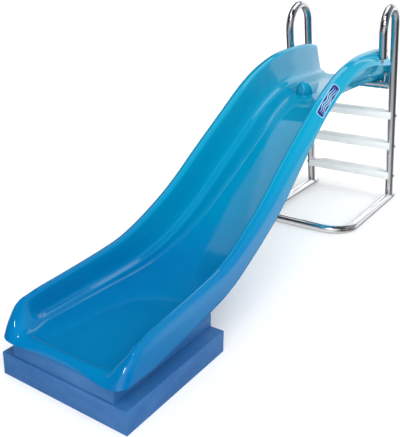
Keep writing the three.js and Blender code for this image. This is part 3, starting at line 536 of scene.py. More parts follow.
def make_base(steel, plastic):
    corners = [(-RAIL_HALF, BASE_REAR_Y, FLOOR_TUBE_Z), (-RAIL_HALF, BASE_FRONT_Y, FLOOR_TUBE_Z),
               (RAIL_HALF, BASE_FRONT_Y, FLOOR_TUBE_Z), (RAIL_HALF, BASE_REAR_Y, FLOOR_TUBE_Z)]
    path = bent_path(corners, BASE_BEND, 32)
    base = swept("base_frame_fine", path, RAIL_RADIUS, 56, bore=RAIL_RADIUS - RAIL_WALL)
    finish(base, steel, "base_frame")
    plug = turned("plug", (-RAIL_HALF, BASE_REAR_Y, FLOOR_TUBE_Z), (0, 1, 0), plug_profile(), 56)
    finish_pair(plug, "base_plug", plastic)


def plug_profile():
    """Push-in plug of a tube end, with a rounded face."""
    bore = RAIL_RADIUS - RAIL_WALL - 0.4
    dome = [(RAIL_RADIUS - 3.4 + 3.2 * cos(a), 2.2 + 3.4 * sin(a)) for a in quarter(6)]
    return [(0, -16), (bore - 1, -16), (bore, -14.5), (bore, 0.2), (RAIL_RADIUS - 0.2, 0.2),
            *dome, (RAIL_RADIUS - 8, 6.3), (0, 6.6)]


def tread_outline(height):
    """Closed (y, z) outline of the inverted channel, with ribs along the deck."""
    middle = ladder_y(height - TREAD_BOLT_BELOW)
    front = middle - TREAD_FRONT
    rear = middle + TREAD_REAR
    low = height - TREAD_DEPTH
    radius, pitch = TREAD_EDGE_RADIUS, RIB_PITCH

    def arc(cy, start):
        return [(cy + radius * cos(start - a), height - radius + radius * sin(start - a))
                for a in quarter(6)]

    deck = []
    y = front + radius + 2
    while y < rear - radius - pitch:
        deck += [(y, height), (y + pitch * 0.18, height - RIB_DEPTH),
                 (y + pitch * 0.42, height - RIB_DEPTH), (y + pitch * 0.6, height)]
        y += pitch
    ceiling = height - TREAD_WALL - RIB_DEPTH
    inner = [(rear - TREAD_WALL, low), (rear - TREAD_WALL, ceiling), (front + TREAD_WALL, ceiling),
             (front + TREAD_WALL, low)]
    return [(front, low), *arc(front + radius, pi), *deck, *arc(rear - radius, pi / 2),
            (rear, low), *inner]


def tread_plan(height):
    """Plan outline: full width at the front tabs, drawn in round the tubes towards the back."""
    middle = ladder_y(height - TREAD_BOLT_BELOW)
    near, far = TREAD_HOLLOW_X
    radius = TREAD_HOLLOW_RADIUS
    half = [(TREAD_TAB_HALF, -TREAD_FRONT - 5), (TREAD_TAB_HALF, -9)]
    half += [(far - radius * sin(a), 19 + radius * (1 - cos(a))) for a in quarter(10)]
    half.append((near, TREAD_REAR + 5))
    right = [(x, y + middle) for x, y in half]
    return right + [(-x, y) for x, y in reversed(right)]


def make_tread(name, height, plastic, steel):
    outline = tread_outline(height)
    half = TREAD_TAB_HALF
    tread = prism(f"tread_{name}_fine", outline, lambda p: (-half, *p), lambda p: (half, *p))
    plan = prism("plan", tread_plan(height), lambda p: (*p, height - 60), lambda p: (*p, height + 20))
    boolean(tread, plan, operation="INTERSECT")
    boolean(tread, *[rail_tool(side, height - 70, height + 40, 0.5, 72) for side in (-1, 1)])
    middle = ladder_y(height - TREAD_BOLT_BELOW)
    webs = [box_piece("web", (x - WEB_HALF, middle - TREAD_FRONT + 3, height - WEB_LOW),
                      (x + WEB_HALF, middle + TREAD_REAR - 3, height - WEB_TOP)) for x in WEB_PLACES]
    tread = merged(f"tread_{name}_fine", tread, *webs)
    finish(bevel(tread, TREAD_EDGE, 1, 50), plastic, f"tread_{name}")
    seat = (-RAIL_HALF - RAIL_RADIUS - CLEARANCE, middle, height - TREAD_BOLT_BELOW)
    bolt = hex_bolt(seat, (1, 0, 0), BOLT_LENGTHS["tread"])
    finish_pair(bolt, f"tread_bolt_{name}", steel)


# ---- Fasteners ----


def hexagon(name, seat, axis, across_corners, low, high):
    """A hexagon head from low to high along an axis, with its outer corners turned off."""
    first, second, ahead = frame_of(axis)
    radius = across_corners / 2
    outline = [(radius * cos(a), radius * sin(a)) for a in circle(6)]

    def at(height):
        return lambda p: Vector(seat) + first * p[0] + second * p[1] + ahead * height

    head = prism(name, outline, at(low), at(high))
    middle = (low + high) / 2
    flat = radius * cos(pi / 6)
    chamfer = radius * 0.10
    profile = [(0, low - 1), (flat * 0.98, low - 1), (flat * 0.98, low), (radius, low + chamfer),
               (radius + 1, middle), (radius + 1, high + 1), (0, high + 1)]
    shaper = turned("shaper", seat, axis, profile, 48)
    return boolean(head, shaper, operation="INTERSECT")


def hex_bolt(seat, axis, length):
    """Bolt with its seat at a point, its shank ahead along the axis and its head behind."""
    shank, washer = BOLT_RADIUS - 0.1, BOLT_RADIUS * WASHER_WIDTH
    low, high = -WASHER_THICKNESS - 0.1, -0.1
    head = hexagon("head", seat, axis, BOLT_RADIUS * HEAD_WIDTH, -BOLT_RADIUS * HEAD_HEIGHT, low)
    ring = [(0, low), (washer - 0.4, low), (washer, low + 0.2), (washer, high), (0, high)]
    pin = [(0, -1), (shank, -1), (shank, length), (0, length + 0.6)]
    return merged("bolt", head, turned("washer", seat, axis, ring, 36), turned("shank", seat, axis, pin, 24))


# ---- Chute surface: the same path, section and placing as the CAD, sampled finely ----


def clamp(x, low=0.0, high=1.0):
    return min(max(x, low), high)


def smooth(t):
    x = clamp(t)
    return x * x * (3 - 2 * x)


def ease_in(value, fade):
    """How far a value has come through a fade, from 0 to 1."""
    return smooth((value - fade[0]) / fade[1])


CREST_LENGTH = CREST_RADIUS * (SLOPE - PLATFORM_FALL)
SAG_LENGTH = SAG_RADIUS * SLOPE
PATH_LENGTH = PLATFORM_LENGTH + CREST_LENGTH + SLOPE_LENGTH + SAG_LENGTH + RUNOUT_LENGTH


def path_at(distance):
    """y, z and fall angle of the floor's middle line."""
    y, z, angle = PLATFORM_REAR_Y, PLATFORM_Z, PLATFORM_FALL
    rest = distance
    runs = ((PLATFORM_LENGTH, 0), (CREST_LENGTH, CREST_RADIUS), (SLOPE_LENGTH, 0),
            (SAG_LENGTH, -SAG_RADIUS), (math.inf, 0))
    for length, radius in runs:
        used = min(rest, length)
        if radius:
            end = angle + used / radius
            y -= radius * (sin(end) - sin(angle))
            z -= radius * (cos(angle) - cos(end))
            angle = end
        else:
            y -= used * cos(angle)
            z -= used * sin(angle)
        rest -= used
        if rest <= 0:
            break
    return y, z, angle


def keyed(name, s):
    """A section value as a smooth curve through the keys."""
    last = len(SECTION_KEYS) - 1
    at = clamp(s, 0, SECTION_KEYS[last]["s"])
    i = min(last - 1, max(k for k, key in enumerate(SECTION_KEYS) if key["s"] <= at))

    def slope(k):
        a, b = SECTION_KEYS[max(k - 1, 0)], SECTION_KEYS[min(k + 1, last)]
        return (b[name] - a[name]) / (b["s"] - a["s"])

    low, high = SECTION_KEYS[i], SECTION_KEYS[i + 1]
    width = high["s"] - low["s"]
    t = (at - low["s"]) / width
    return ((1 + 2 * t) * (1 - t) ** 2 * low[name] + t * (1 - t) ** 2 * width * slope(i)
            + t * t * (3 - 2 * t) * high[name] + t * t * (t - 1) * width * slope(i + 1))


def section_at(s):
    """Section values at a distance, with how far the exit and rear changes have come."""
    value = {name: keyed(name, s) for name in SECTION_NAMES[1:]}
    value["end"] = smooth((s - PATH_LENGTH) / EXIT_BLEND + 1)
    value["bead"] = EXIT_BEAD * smooth((s - PATH_LENGTH) / EXIT_BEAD_LENGTH + 1)
    value["rise"] = REAR_RISE * (1 - smooth(s / REAR_RISE_LENGTH))
    value["dip"] = EXIT_DIP * smooth((s - PATH_LENGTH) / EXIT_DIP_LENGTH + 1)
    return value


def trough_outline(c):
    """Half outline of the trough from the floor's middle to the top of the crown."""
    keys = ("floor", "ledge", "ledge_rise", "crown", "crown_rise")
    floor, ledge, rise, crown, top = (c[key] for key in keys)
    radius, turn = CROWN_INNER_RADIUS, math.sqrt(0.5)
    inner_x, inner_z = crown - radius, top - radius
    ledge_in = max(ledge - 26, floor + 8)

    def wall(across, up, bulge):
        x = ledge + 4 + (inner_x - ledge - 4) * across
        return x + bulge, rise + 7 + (inner_z - rise - 7) * up

    outline = [(0, 0), (floor * 0.5, 0), (floor - 14, 0), (floor, min(4, rise * 0.12)),
               ((floor + ledge_in) / 2 + 2, rise * 0.45), (ledge_in, rise * 0.86),
               (ledge - 10, rise), (ledge + 4, rise + 7),
               wall(0.5, 0.25, 3), wall(0.85, 0.6, 2), (inner_x, inner_z),
               (crown - radius * turn, top - radius * (1 - turn)), (crown, top)]
    end = c["end"]
    return [(u + (x - u) * end, v + (z - v) * end) for (u, v), (x, z) in zip(outline, EXIT_OUTLINE)]


def place(u, v, s):
    """Section coordinates (across, up, along) as a design point; the rear end is cut obliquely."""
    side = abs(u)
    fade = 1 - smooth(s / REAR_FADE)
    shift = (REAR_BOW * min(side / BOW_HALF_WIDTH, 1) ** 2 + REAR_RAKE * clamp((v - RAKE_UP[0]) / RAKE_UP[1])
             + REAR_RELIEF * ease_in(side, RELIEF_ACROSS))
    y, z, angle = path_at(s + fade * shift)
    flare = (REAR_FLARE * (1 - smooth(s / REAR_FLARE_LENGTH)) * ease_in(v, FLARE_UP)
             * (1 - ease_in(v, FLARE_TOP)) * (1 - ease_in(side, FLARE_ACROSS)))
    return u + math.copysign(flare, u), y - v * sin(angle), z + v * cos(angle)


def stations():
    """Distances of the rows along the path, closer together at both ends."""
    taper = PATH_LENGTH - EXIT_BLEND
    count = round((taper - REAR_RISE_LENGTH) / STATION_SPACING)
    middle = [REAR_RISE_LENGTH + (taper - REAR_RISE_LENGTH) * k / count for k in range(count)]
    end = [taper + EXIT_BLEND * k / 10 for k in range(10)]
    return [*REAR_STATIONS, *middle, *end, PATH_LENGTH - 6, PATH_LENGTH]


def trough_rows(distances):
    """Rows of (across, up, along) from the left crown to the right crown."""
    rows = []
    for s in distances:
        c = section_at(s)
        half = []
        for u, v in trough_outline(c):
            lift = (c["bead"] * (1 - ease_in(v, BEAD_UP)) + c["rise"] * (1 - ease_in(v, REAR_RISE_UP))
                    - c["dip"] * ease_in(v, EXIT_DIP_UP))
            recess = EXIT_RECESS * ease_in(u, EXIT_RECESS_ACROSS) * c["end"]
            half.append((u, v + lift, s - recess))
        rows.append([(-u, v, at) for u, v, at in half[:0:-1]] + half)
    return rows


def beyond(u, s):
    """How far a spot is outside the lip's outer outline, a rectangle with rounded exit corners."""
    c = section_at(s)
    half, radius = c["crown"] + c["roll"], EXIT_CORNER_RADIUS
    end = PATH_LENGTH + EXIT_REACH + EXIT_NOSE * ease_in(abs(u), EXIT_NOSE_ACROSS)
    across, along = abs(u) - (half - radius), s - (end - radius)
    if across > 0 and along > 0:
        return math.hypot(across, along) - radius
    return max(across, along) - radius


def lip_reach(spot, heading):
    """Distance from a rim spot to the lip's outer outline along a heading (across, along)."""
    low, high = 0.0, LIP_SEARCH
    for _ in range(LIP_HALVINGS):
        middle = (low + high) / 2
        inside = beyond(spot[0] + heading[0] * middle, spot[2] + heading[1] * middle) < 0
        low, high = (middle, high) if inside else (low, middle)
    return low


def lip_profile(reach, steepness, drop):
    """(outward, down) steps of the rolled lip: an elliptical quarter and then a straight skirt."""
    down = min(reach * steepness, drop - 3)
    arc = [LIP_TURN * k / LIP_STEPS for k in range(1, LIP_STEPS + 1)]
    curve = [(reach * sin(a) / sin(LIP_TURN), down * (1 - cos(a)) / (1 - cos(LIP_TURN)))
             for a in arc]
    return curve + [(reach + SKIRT_LEAN[0], (down + drop) / 2), (reach + SKIRT_LEAN[1], drop)]


def rim_headings(spots, corners):
    """Unit headings (across, along) outward from the rim spots, turning evenly round the exit corners."""
    headings = []
    travelled = [0.0]
    for a, b in zip(spots, spots[1:]):
        travelled.append(travelled[-1] + math.dist(a, b))
    for k, spot in enumerate(spots):
        near = min(corners, key=lambda c: abs(c - k))
        side = math.copysign(1, spots[near][0])
        past = (travelled[k] - travelled[near]) * (1 if near == corners[0] else -1)
        angle = pi / 2 * smooth((past + EXIT_TURN_LENGTH) / (2 * EXIT_TURN_LENGTH))
        headings.append((side * cos(angle), sin(angle)))
    return headings


def chute_sheet():
    """Points and quads of the chute's upper sheet: trough, lip round three sides, rear apron."""
    rows = trough_rows(stations())
    columns = len(rows[0])
    last = len(rows) - 1
    points = [place(*spot) for row in rows for spot in row]
    faces = grid_faces(len(rows), columns)
    rim = ([(i, 0) for i in range(last + 1)] + [(last, j) for j in range(1, columns - 1)]
           + [(last - i, columns - 1) for i in range(last + 1)])
    spots = [rows[i][j] for i, j in rim]
    headings = rim_headings(spots, (last, last + columns - 1))
    profiles = []
    for (u, v, s), heading in zip(spots, headings):
        bulge = sin(2 * math.atan2(abs(heading[1]), abs(heading[0])))
        low = section_at(s)["low"] + EXIT_CORNER_LOW * bulge
        steepness = 1 + 0.5 * max(bulge, ease_in(s, STEEP_LIP_ALONG) * abs(heading[0]))
        profiles.append(lip_profile(lip_reach((u, v, s), heading), steepness, v - low))
    ring = [i * columns + j for i, j in rim]
    for step in range(len(profiles[0])):
        fresh = []
        for k, (u, v, s) in enumerate(spots):
            out, drop = profiles[k][step]
            fresh.append(len(points))
            points.append(place(u + headings[k][0] * out, v - drop, s + headings[k][1] * out))
        faces += [(a, c, d, b) for a, b, c, d in zip(ring, ring[1:], fresh, fresh[1:])]
        ring = fresh
    add_apron(points, faces, rows[0])
    return points, faces


def add_apron(points, faces, rear_row):
    """Rolls the platform's rear edge down into a short apron."""
    inside = [j for j, spot in enumerate(rear_row) if spot[1] < APRON_RIM]
    turns = [radians(a) for a in (22, 45, 67, 90)]
    drops = [(APRON_ROLL * sin(a), APRON_ROLL * (1 - cos(a))) for a in turns]
    ring = inside
    for back, drop in [*drops, (APRON_ROLL, None)]:
        fresh = []
        for j in inside:
            u, v, _ = rear_row[j]
            height = APRON_LOW if drop is None else v - drop
            fresh.append(len(points))
            points.append((place(u, v, 0)[0], *place(u, height, -back)[1:]))
        faces += [(a, b, d, c) for a, b, c, d in zip(ring, ring[1:], fresh, fresh[1:])]
        ring = fresh


def shell_thickness(y):
    """The laminate's thickness, thinner towards the exit."""
    exit_y = path_at(PATH_LENGTH)[0]
    return EXIT_SHELL + (SHELL - EXIT_SHELL) * smooth((y - exit_y) / EXIT_TAPER)


def make_chute(gelcoat):
    points, faces = chute_sheet()
    chute = sheet_object("chute_fine", points, faces)
    group = chute.vertex_groups.new(name="laminate")
    for k, point in enumerate(points):
        group.add([k], shell_thickness(point[1]) / SHELL, "REPLACE")
    modify(chute, "SUBSURF", levels=2, render_levels=2, boundary_smooth="PRESERVE_CORNERS")
    modify(chute, "SOLIDIFY", thickness=SHELL / 1000, offset=-1, vertex_group="laminate")
    bake(chute, 40)
    tools = []
    for side in (-1, 1):
        end = Vector((HOOP_END.x * -side, HOOP_END.y, HOOP_END.z))
        tools.append(rod(end - UP * SEAT_BELOW, end + UP * SEAT_ABOVE, RAIL_RADIUS + SEAT_GAP, 72))
        tools.append(rod((side * (SKIRT_X + 20), HOOP_END.y, HOOP_BOLT_Z),
                         (side * (SKIRT_X - 26), HOOP_END.y, HOOP_BOLT_Z), BOLT_RADIUS + HOLE_GAP, 24))
    boolean(chute, *tools)
    chute.vertex_groups.clear()
    bevel(chute, CHUTE_EDGE, angle=55)
    finish(chute, gelcoat, "chute")
    return chute


# ---- Lip badge ----


def lip_point(s, w):
    """A point on the right-hand lip, w millimetres outward from the crown along its curve."""
    c = section_at(s)
    roll = c["roll"]
    a = min(w / roll, pi / 2)
    down = roll * (1 - cos(a)) + max(w - roll * pi / 2, 0)
    return place(c["crown"] + roll * sin(a), c["crown_rise"] - down, s)


def lip_patch(name, strip, columns, chute, lift):
    """A thin plate on the lip; strip is a list of (s, low w, high w)."""
    points = [lip_point(s, low + (high - low) * j / columns)
              for s, low, high in strip for j in range(columns + 1)]
    patch = sheet_object(name, points, grid_faces(len(strip), columns + 1))
    modify(patch, "SHRINKWRAP", target=chute, wrap_method="NEAREST_SURFACEPOINT",
           wrap_mode="ABOVE_SURFACE", offset=lift / 1000)
    modify(patch, "SOLIDIFY", thickness=LABEL_THICKNESS / 1000, offset=0)
    return bake(patch)


def badge_strip(border, steps=40):
    """The badge's rounded outline, drawn in by a border."""
    half_length, half_height = LABEL_HALF_LENGTH - border, LABEL_HALF_HEIGHT - border
    corner = LABEL_CORNER - border * 0.75
    strip = []
    for k in range(steps + 1):
        d = half_length * sin(pi * (k / steps - 0.5))
        over = abs(d) - (half_length - corner)
        half = half_height
        if over > 0:
            half = half_height - corner + math.sqrt(max(corner * corner - over * over, 0.04))
        middle = LABEL_W + LABEL_TILT * d
        strip.append((LABEL_S + d, middle - half, middle + half))
    return strip


def wave_strip(offset, steps=90):
    """A swelling wave line whose ends taper to points."""
    strip = []
    for k in range(steps + 1):
        t = k / steps
        d = WAVE_REACH * (2 * t - 1)
        taper = sin(pi * t) ** 0.5
        middle = LABEL_W + LABEL_TILT * d + offset + WAVE_HEIGHT * sin(2 * pi * WAVE_COUNT * t)
        half = max(WAVE_HALF_WIDTH * taper, 0.15)
        strip.append((LABEL_S + d, middle - half, middle + half))
    return strip


def make_label(chute, film, ink):
    rim = lip_patch("label_rim_fine", badge_strip(0.0), 10, chute, RIM_LIFT)
    finish(rim, ink, "label_plate")
    plate = lip_patch("label_plate_fine", badge_strip(LABEL_BORDER), 10, chute, PLATE_LIFT)
    finish(plate, film, "label_plate")
    for number, offset in enumerate(WAVE_OFFSETS):
        wave = lip_patch(f"label_wave_{number}", wave_strip(offset), 3, chute, WAVE_LIFT)
        finish(wave, ink, "label_plate")


# ---- Crossbar, brackets and fittings ----

CROSSBAR_Y = ladder_y(CROSSBAR_Z)
BRACKET_SEAT_Z = CROSSBAR_Z + CROSSBAR_RADIUS + CLEARANCE


def make_crossbar(steel, weld):
    start, end = (-RAIL_HALF, CROSSBAR_Y, CROSSBAR_Z), (RAIL_HALF, CROSSBAR_Y, CROSSBAR_Z)
    bar = swept("crossbar_fine", bent_path([start, end], 1), CROSSBAR_RADIUS, 40)
    low, high = CROSSBAR_Z - TRIM_REACH, CROSSBAR_Z + TRIM_REACH
    boolean(bar, *[rail_tool(side, low, high, CLEARANCE) for side in (-1, 1)])
    finish(bar, steel, "crossbar")
    outer, inner, edge = CROSSBAR_RADIUS + SLEEVE_WALL, CROSSBAR_RADIUS + CLEARANCE, SLEEVE_EDGE
    length = SLEEVE_TO - SLEEVE_FROM
    ring = [(inner, 0), (outer - edge, 0), (outer, edge), (outer, length - edge), (outer - edge, length),
            (inner, length), (inner, 0)]
    sleeve = turned("sleeve", (-SLEEVE_FROM, CROSSBAR_Y, CROSSBAR_Z), (-1, 0, 0), ring, 48)
    finish_pair(sleeve, "crossbar_sleeve", steel)
    loop = []
    for angle in circle(80):
        dy, dz = CROSSBAR_RADIUS * cos(angle), CROSSBAR_RADIUS * sin(angle)
        off = dy * cos(LEAN) + dz * sin(LEAN)
        x = -RAIL_HALF + math.sqrt(RAIL_RADIUS ** 2 - off * off)
        loop.append(Vector((x, CROSSBAR_Y + dy, CROSSBAR_Z + dz)))
    finish_beads("bar_weld", loop, BAR_WELD, weld)


def make_brackets(steel):
    """The strap under each side of the platform."""
    seat, plate, radius = BRACKET_SEAT_Z, BRACKET_PLATE, BRACKET_BEND
    outer = -WALL_TAB_X - plate
    inner = -BAR_BOLT_X + BRACKET_FOOT
    bend = [(outer + radius - radius * sin(a), seat + radius - radius * cos(a))
            for a in quarter(6)]
    tight = [(outer + plate + 1 - sin(a), seat + plate + 1 - cos(a))
             for a in reversed(quarter(3))]
    outline = [(inner, seat), *bend, (outer, BRACKET_TOP_Z), (outer + plate, BRACKET_TOP_Z), *tight,
               (inner, seat + plate)]
    near, far = CROSSBAR_Y - BRACKET_HALF_WIDTH, CROSSBAR_Y + BRACKET_HALF_WIDTH
    bracket = prism("bracket", outline, lambda p: (p[0], near, p[1]), lambda p: (p[0], far, p[1]))
    finish_pair(bevel(bracket, METAL_EDGE), "chute_bracket", steel)


def make_bracket_bolts(steel):
    """The bolt from each strap into the chute's wall, and the one down through the bar to its nut."""
    seat = (-WALL_TAB_X - BRACKET_PLATE - 0.1, CROSSBAR_Y, WALL_BOLT_Z)
    finish_pair(hex_bolt(seat, (1, 0, 0), BOLT_LENGTHS["wall"]), "wall_bolt", steel)
    top = (-BAR_BOLT_X, CROSSBAR_Y, BRACKET_SEAT_Z + BRACKET_PLATE + 0.1)
    finish_pair(hex_bolt(top, (0, 0, -1), BOLT_LENGTHS["bar"]), "bar_bolt", steel)
    foot = (-BAR_BOLT_X, CROSSBAR_Y, CROSSBAR_Z - CROSSBAR_RADIUS - CLEARANCE)
    skirt = hexagon("nut", foot, (0, 0, -1), BOLT_RADIUS * NUT_WIDTH, 0, NUT_HEIGHT)
    cap = [(NUT_CAP_RADIUS * cos(a), NUT_HEIGHT - 0.1 + NUT_CAP_HEIGHT * sin(a)) for a in quarter(8)[:-1]]
    profile = [(0, NUT_HEIGHT - 1.5), *cap, (0, NUT_HEIGHT + NUT_CAP_HEIGHT)]
    dome = turned("dome", foot, (0, 0, -1), profile, 36)
    finish_pair(merged("nut", skirt, dome), "dome_nut", steel)


def make_hoop_fixings(plastic, steel):
    plug = turned("plug", HOOP_END, -UP, plug_profile(), 56)
    tongue = box_piece("tongue", (-TONGUE_OUT, HOOP_END.y - TONGUE_HALF_DEPTH, TONGUE_LOW_Z),
                       (-TONGUE_IN, HOOP_END.y + TONGUE_HALF_DEPTH, TONGUE_TOP_Z))
    finish_pair(merged("plug", plug, bevel(tongue, 1.5)), "hoop_plug", plastic)
    bolt = hex_bolt((-SKIRT_X, HOOP_END.y, HOOP_BOLT_Z), (1, 0, 0), BOLT_LENGTHS["hoop"])
    finish_pair(bolt, "hoop_bolt", steel)


def make_nozzle(gelcoat, plastic, rubber):
    foot = Vector(place(DOME_X, 0, DOME_S))
    angle = path_at(DOME_S)[2]
    normal = Vector((0, -sin(angle), cos(angle)))
    cap = [(DOME_RADIUS * cos(a), DOME_HEIGHT * sin(a)) for a in quarter(16)[:-1]]
    dome = [(0, -6), (DOME_RADIUS, -6), *cap, (0, DOME_HEIGHT)]
    hood = turned("water_nozzle_fine", foot, normal, dome, 72)
    finish(hood, gelcoat, "water_nozzle")
    pipe = turned("water_spigot_fine", foot, normal, SPIGOT_PROFILE, 40)
    finish(pipe, plastic, "water_spigot")
    gasket = turned("spigot_gasket_fine", foot, normal, GASKET_PROFILE, 48)
    finish(gasket, rubber, "spigot_gasket")
    nut = hexagon("spigot_locknut_fine", foot, -normal, LOCKNUT_WIDTH, *LOCKNUT_DEPTHS)
    finish(nut, plastic, "spigot_locknut")


# ---- Plinth and pads ----

BLOCK_EDGE = 2.2
PAD_EDGE = 2.5


def make_block(node, width, look):
    """A box with rounded edges in the place of a CAD node."""
    low, high = (Vector(corner) * 1000 - Vector((0, Y_SHIFT, 0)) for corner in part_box(node))
    finish(bevel(box_piece(f"{node}_fine", low, high), width, 3), look, node)


# ---- Materials ----


def add_node(tree, kind, inputs, output=0, **settings):
    """Adds a shader node with its settings and its inputs, set or linked, and returns an output."""
    node = tree.nodes.new(f"ShaderNode{kind}")
    for key, value in settings.items():
        setattr(node, key, value)
    for socket, value in inputs.items():
        if isinstance(value, bpy.types.NodeSocket):
            tree.links.new(value, node.inputs[socket])
        else:
            node.inputs[socket].default_value = value
    return node.outputs[output]


def smooth_span(tree, value, low, high, top=1.0):
    """From 0 at the low value to the top at the high one."""
    limits = {"Value": value, "From Min": low, "From Max": high, "To Max": top}
    return add_node(tree, "MapRange", limits, "Result", interpolation_type="SMOOTHSTEP")


class Shader:
    """A principled material that is put together from a few node helpers."""

    def __init__(self, name, **sockets):
        self.material = bpy.data.materials.new(name)
        self.material.use_nodes = True
        self.tree = self.material.node_tree
        self.body = self.tree.nodes["Principled BSDF"]
        for key, value in sockets.items():
            self.body.inputs[key.replace("_", " ")].default_value = value
        self.where = add_node(self.tree, "TexCoord", {}, "Object")

    def noise(self, scale, detail=4.0, stretch=(1, 1, 1)):
        spot = add_node(self.tree, "Mapping", {"Scale": stretch, "Vector": self.where}, "Vector")
        return add_node(self.tree, "TexNoise", {"Scale": scale, "Detail": detail, "Vector": spot}, "Fac")

    def ramp(self, factor, stops):
        node = self.tree.nodes.new("ShaderNodeValToRGB")
        ramp = node.color_ramp
        ramp.elements[0].position, ramp.elements[0].color = stops[0][0], (*stops[0][1], 1)
        ramp.elements[1].position, ramp.elements[1].color = stops[-1][0], (*stops[-1][1], 1)
        for position, colour in stops[1:-1]:
            ramp.elements.new(position).color = (*colour, 1)
        self.tree.links.new(factor, node.inputs["Fac"])
        return node.outputs["Color"]

    def blend_out(self, near, far):
        """Distance from the middle plane, from 0 at `near` to 1 at `far`, in metres."""
        across = add_node(self.tree, "SeparateXYZ", {0: self.where}, "X")
        side = add_node(self.tree, "Math", {0: across}, operation="ABSOLUTE")
        return smooth_span(self.tree, side, near, far)

    def blend_up(self, low, high, noise, share):
        """Height between two levels, from 0 to 1, with some noise mixed in."""
        up = add_node(self.tree, "SeparateXYZ", {0: self.where}, "Z")
        rise = add_node(self.tree, "MapRange", {"Value": up, "From Min": low, "From Max": high}, "Result")
        total = add_node(self.tree, "Math", {0: noise, 1: share, 2: rise}, operation="MULTIPLY_ADD")
        return add_node(self.tree, "Math", {0: total, 1: share / 2}, operation="SUBTRACT")

    def mix(self, factor, first, second):
        inputs = {"Factor": factor, "A": first, "B": second}
        return add_node(self.tree, "Mix", inputs, "Result", data_type="RGBA")

    def set(self, socket, output):
        self.tree.links.new(output, self.body.inputs[socket])

    def vary(self, noise, dark, light):
        """A base colour that varies between two."""
        self.set("Base Color", self.ramp(noise, [(0.3, dark), (0.7, light)]))

    def rough(self, noise, low, high):
        """A roughness that varies between two values."""
        limits = {"Value": noise, "From Min": 0.3, "From Max": 0.7, "To Min": low, "To Max": high}
        self.set("Roughness", add_node(self.tree, "MapRange", limits, "Result"))

    def bump(self, *layers):
        """layers are (height output, distance in metres)."""
        below = {}
        for height, distance in layers:
            inputs = {"Distance": distance, "Height": height, **below}
            below = {"Normal": add_node(self.tree, "Bump", inputs, "Normal")}
        self.set("Normal", below["Normal"])


def gelcoat_material():
    """Glossy gelcoat with painted light: darker blue low down at the exit and lighter towards the top, and
    painted shade on the lips and skirts outside the trough.
    """
    m = Shader("gelcoat_blue", IOR=1.5)
    # Painted light: the colour gets lighter with height, from the exit up to the platform, with some noise
    # mixed in.
    tone = m.blend_up(0.12, 0.80, m.noise(3.0, 3), 0.16)
    trough_light_ramp = m.ramp(tone, [(0.0, (0.0, 0.132, 0.35)), (0.12, (0.0, 0.175, 0.40)), (0.26, (0.0, 0.235, 0.44)),
                         (0.6, (0.0, 0.265, 0.46)), (1.0, (0.004, 0.29, 0.475))])
    lip_shade_ramp = m.ramp(tone, [(0.0, (0.0, 0.115, 0.33)), (0.3, (0.0, 0.165, 0.385)), (0.6, (0.0, 0.235, 0.43)),
                         (1.0, (0.004, 0.30, 0.47))])
    # Painted shade: outside the trough, the lips and skirts take the darker ramp.
    m.set("Base Color", m.mix(m.blend_out(0.205, 0.245), trough_light_ramp, lip_shade_ramp))
    m.rough(m.noise(14, 5), 0.05, 0.11)
    m.bump((m.noise(5.0, 2), 0.0010), (m.noise(260, 2), 0.00003))
    return m.material, "gelcoat_blue"


def steel_material():
    m = Shader("polished_stainless", Metallic=1.0)
    # Painted reflection: the steel's colour is lighter low down and darker towards the top, with some noise
    # mixed in.
    tone = m.blend_up(0.05, 0.75, m.noise(20, 3), 0.2)
    m.set("Base Color", m.ramp(tone, [(0.0, (0.94, 0.95, 0.98)), (0.4, (0.84, 0.86, 0.90)),
                                      (1.0, (0.62, 0.64, 0.68))]))
    m.rough(m.noise(35, 4, (1, 1, 0.15)), 0.16, 0.28)
    m.bump((m.noise(900, 2, (1, 1, 0.03)), 0.00002))
    return m.material, "stainless"


def weld_material():
    m = Shader("weld_bead", Metallic=1.0)
    m.vary(m.noise(300), (0.34, 0.33, 0.32), (0.55, 0.54, 0.53))
    m.rough(m.noise(400), 0.25, 0.45)
    m.bump((m.noise(700, 3), 0.0002))
    return m.material, "stainless"


def tread_material():
    m = Shader("tread_white", IOR=1.46)
    m.vary(m.noise(12, 5), (0.73, 0.77, 0.77), (0.82, 0.84, 0.83))
    m.rough(m.noise(60, 4), 0.42, 0.58)
    m.bump((m.noise(700, 3), 0.00006))
    return m.material, "tread_white"


def paint_material():
    m = Shader("plinth_paint", IOR=1.45)
    tone = m.noise(7, 6, (1, 1, 2.5))
    m.set("Base Color", m.ramp(tone, [(0.3, (0.016, 0.100, 0.295)), (0.5, (0.021, 0.118, 0.325)),
                                      (0.7, (0.034, 0.140, 0.355))]))
    m.rough(m.noise(30, 5), 0.38, 0.58)
    m.bump((m.noise(22, 5, (1, 1, 3)), 0.0006), (m.noise(500, 3), 0.00012))
    return m.material, "plinth_paint"


def plastic_material():
    m = Shader("black_plastic", IOR=1.46)
    m.vary(m.noise(80, 3), (0.012, 0.014, 0.018), (0.022, 0.025, 0.03))
    m.rough(m.noise(90, 3), 0.35, 0.5)
    m.bump((m.noise(900, 2), 0.00005))
    return m.material, "black_plastic"


def rubber_material():
    m = Shader("rubber_pads", IOR=1.5)
    m.vary(m.noise(60), (0.010, 0.010, 0.011), (0.022, 0.022, 0.023))
    m.rough(m.noise(120, 4), 0.7, 0.9)
    m.bump((m.noise(600, 4), 0.0002))
    return m.material, "rubber"


def film_material(name, dark, light):
    m = Shader(name, IOR=1.48)
    m.vary(m.noise(50, 3), dark, light)
    m.rough(m.noise(80, 3), 0.22, 0.34)
    m.bump((m.noise(500, 2), 0.00002))
    return m.material, "label_film"


# ---- Studio ----


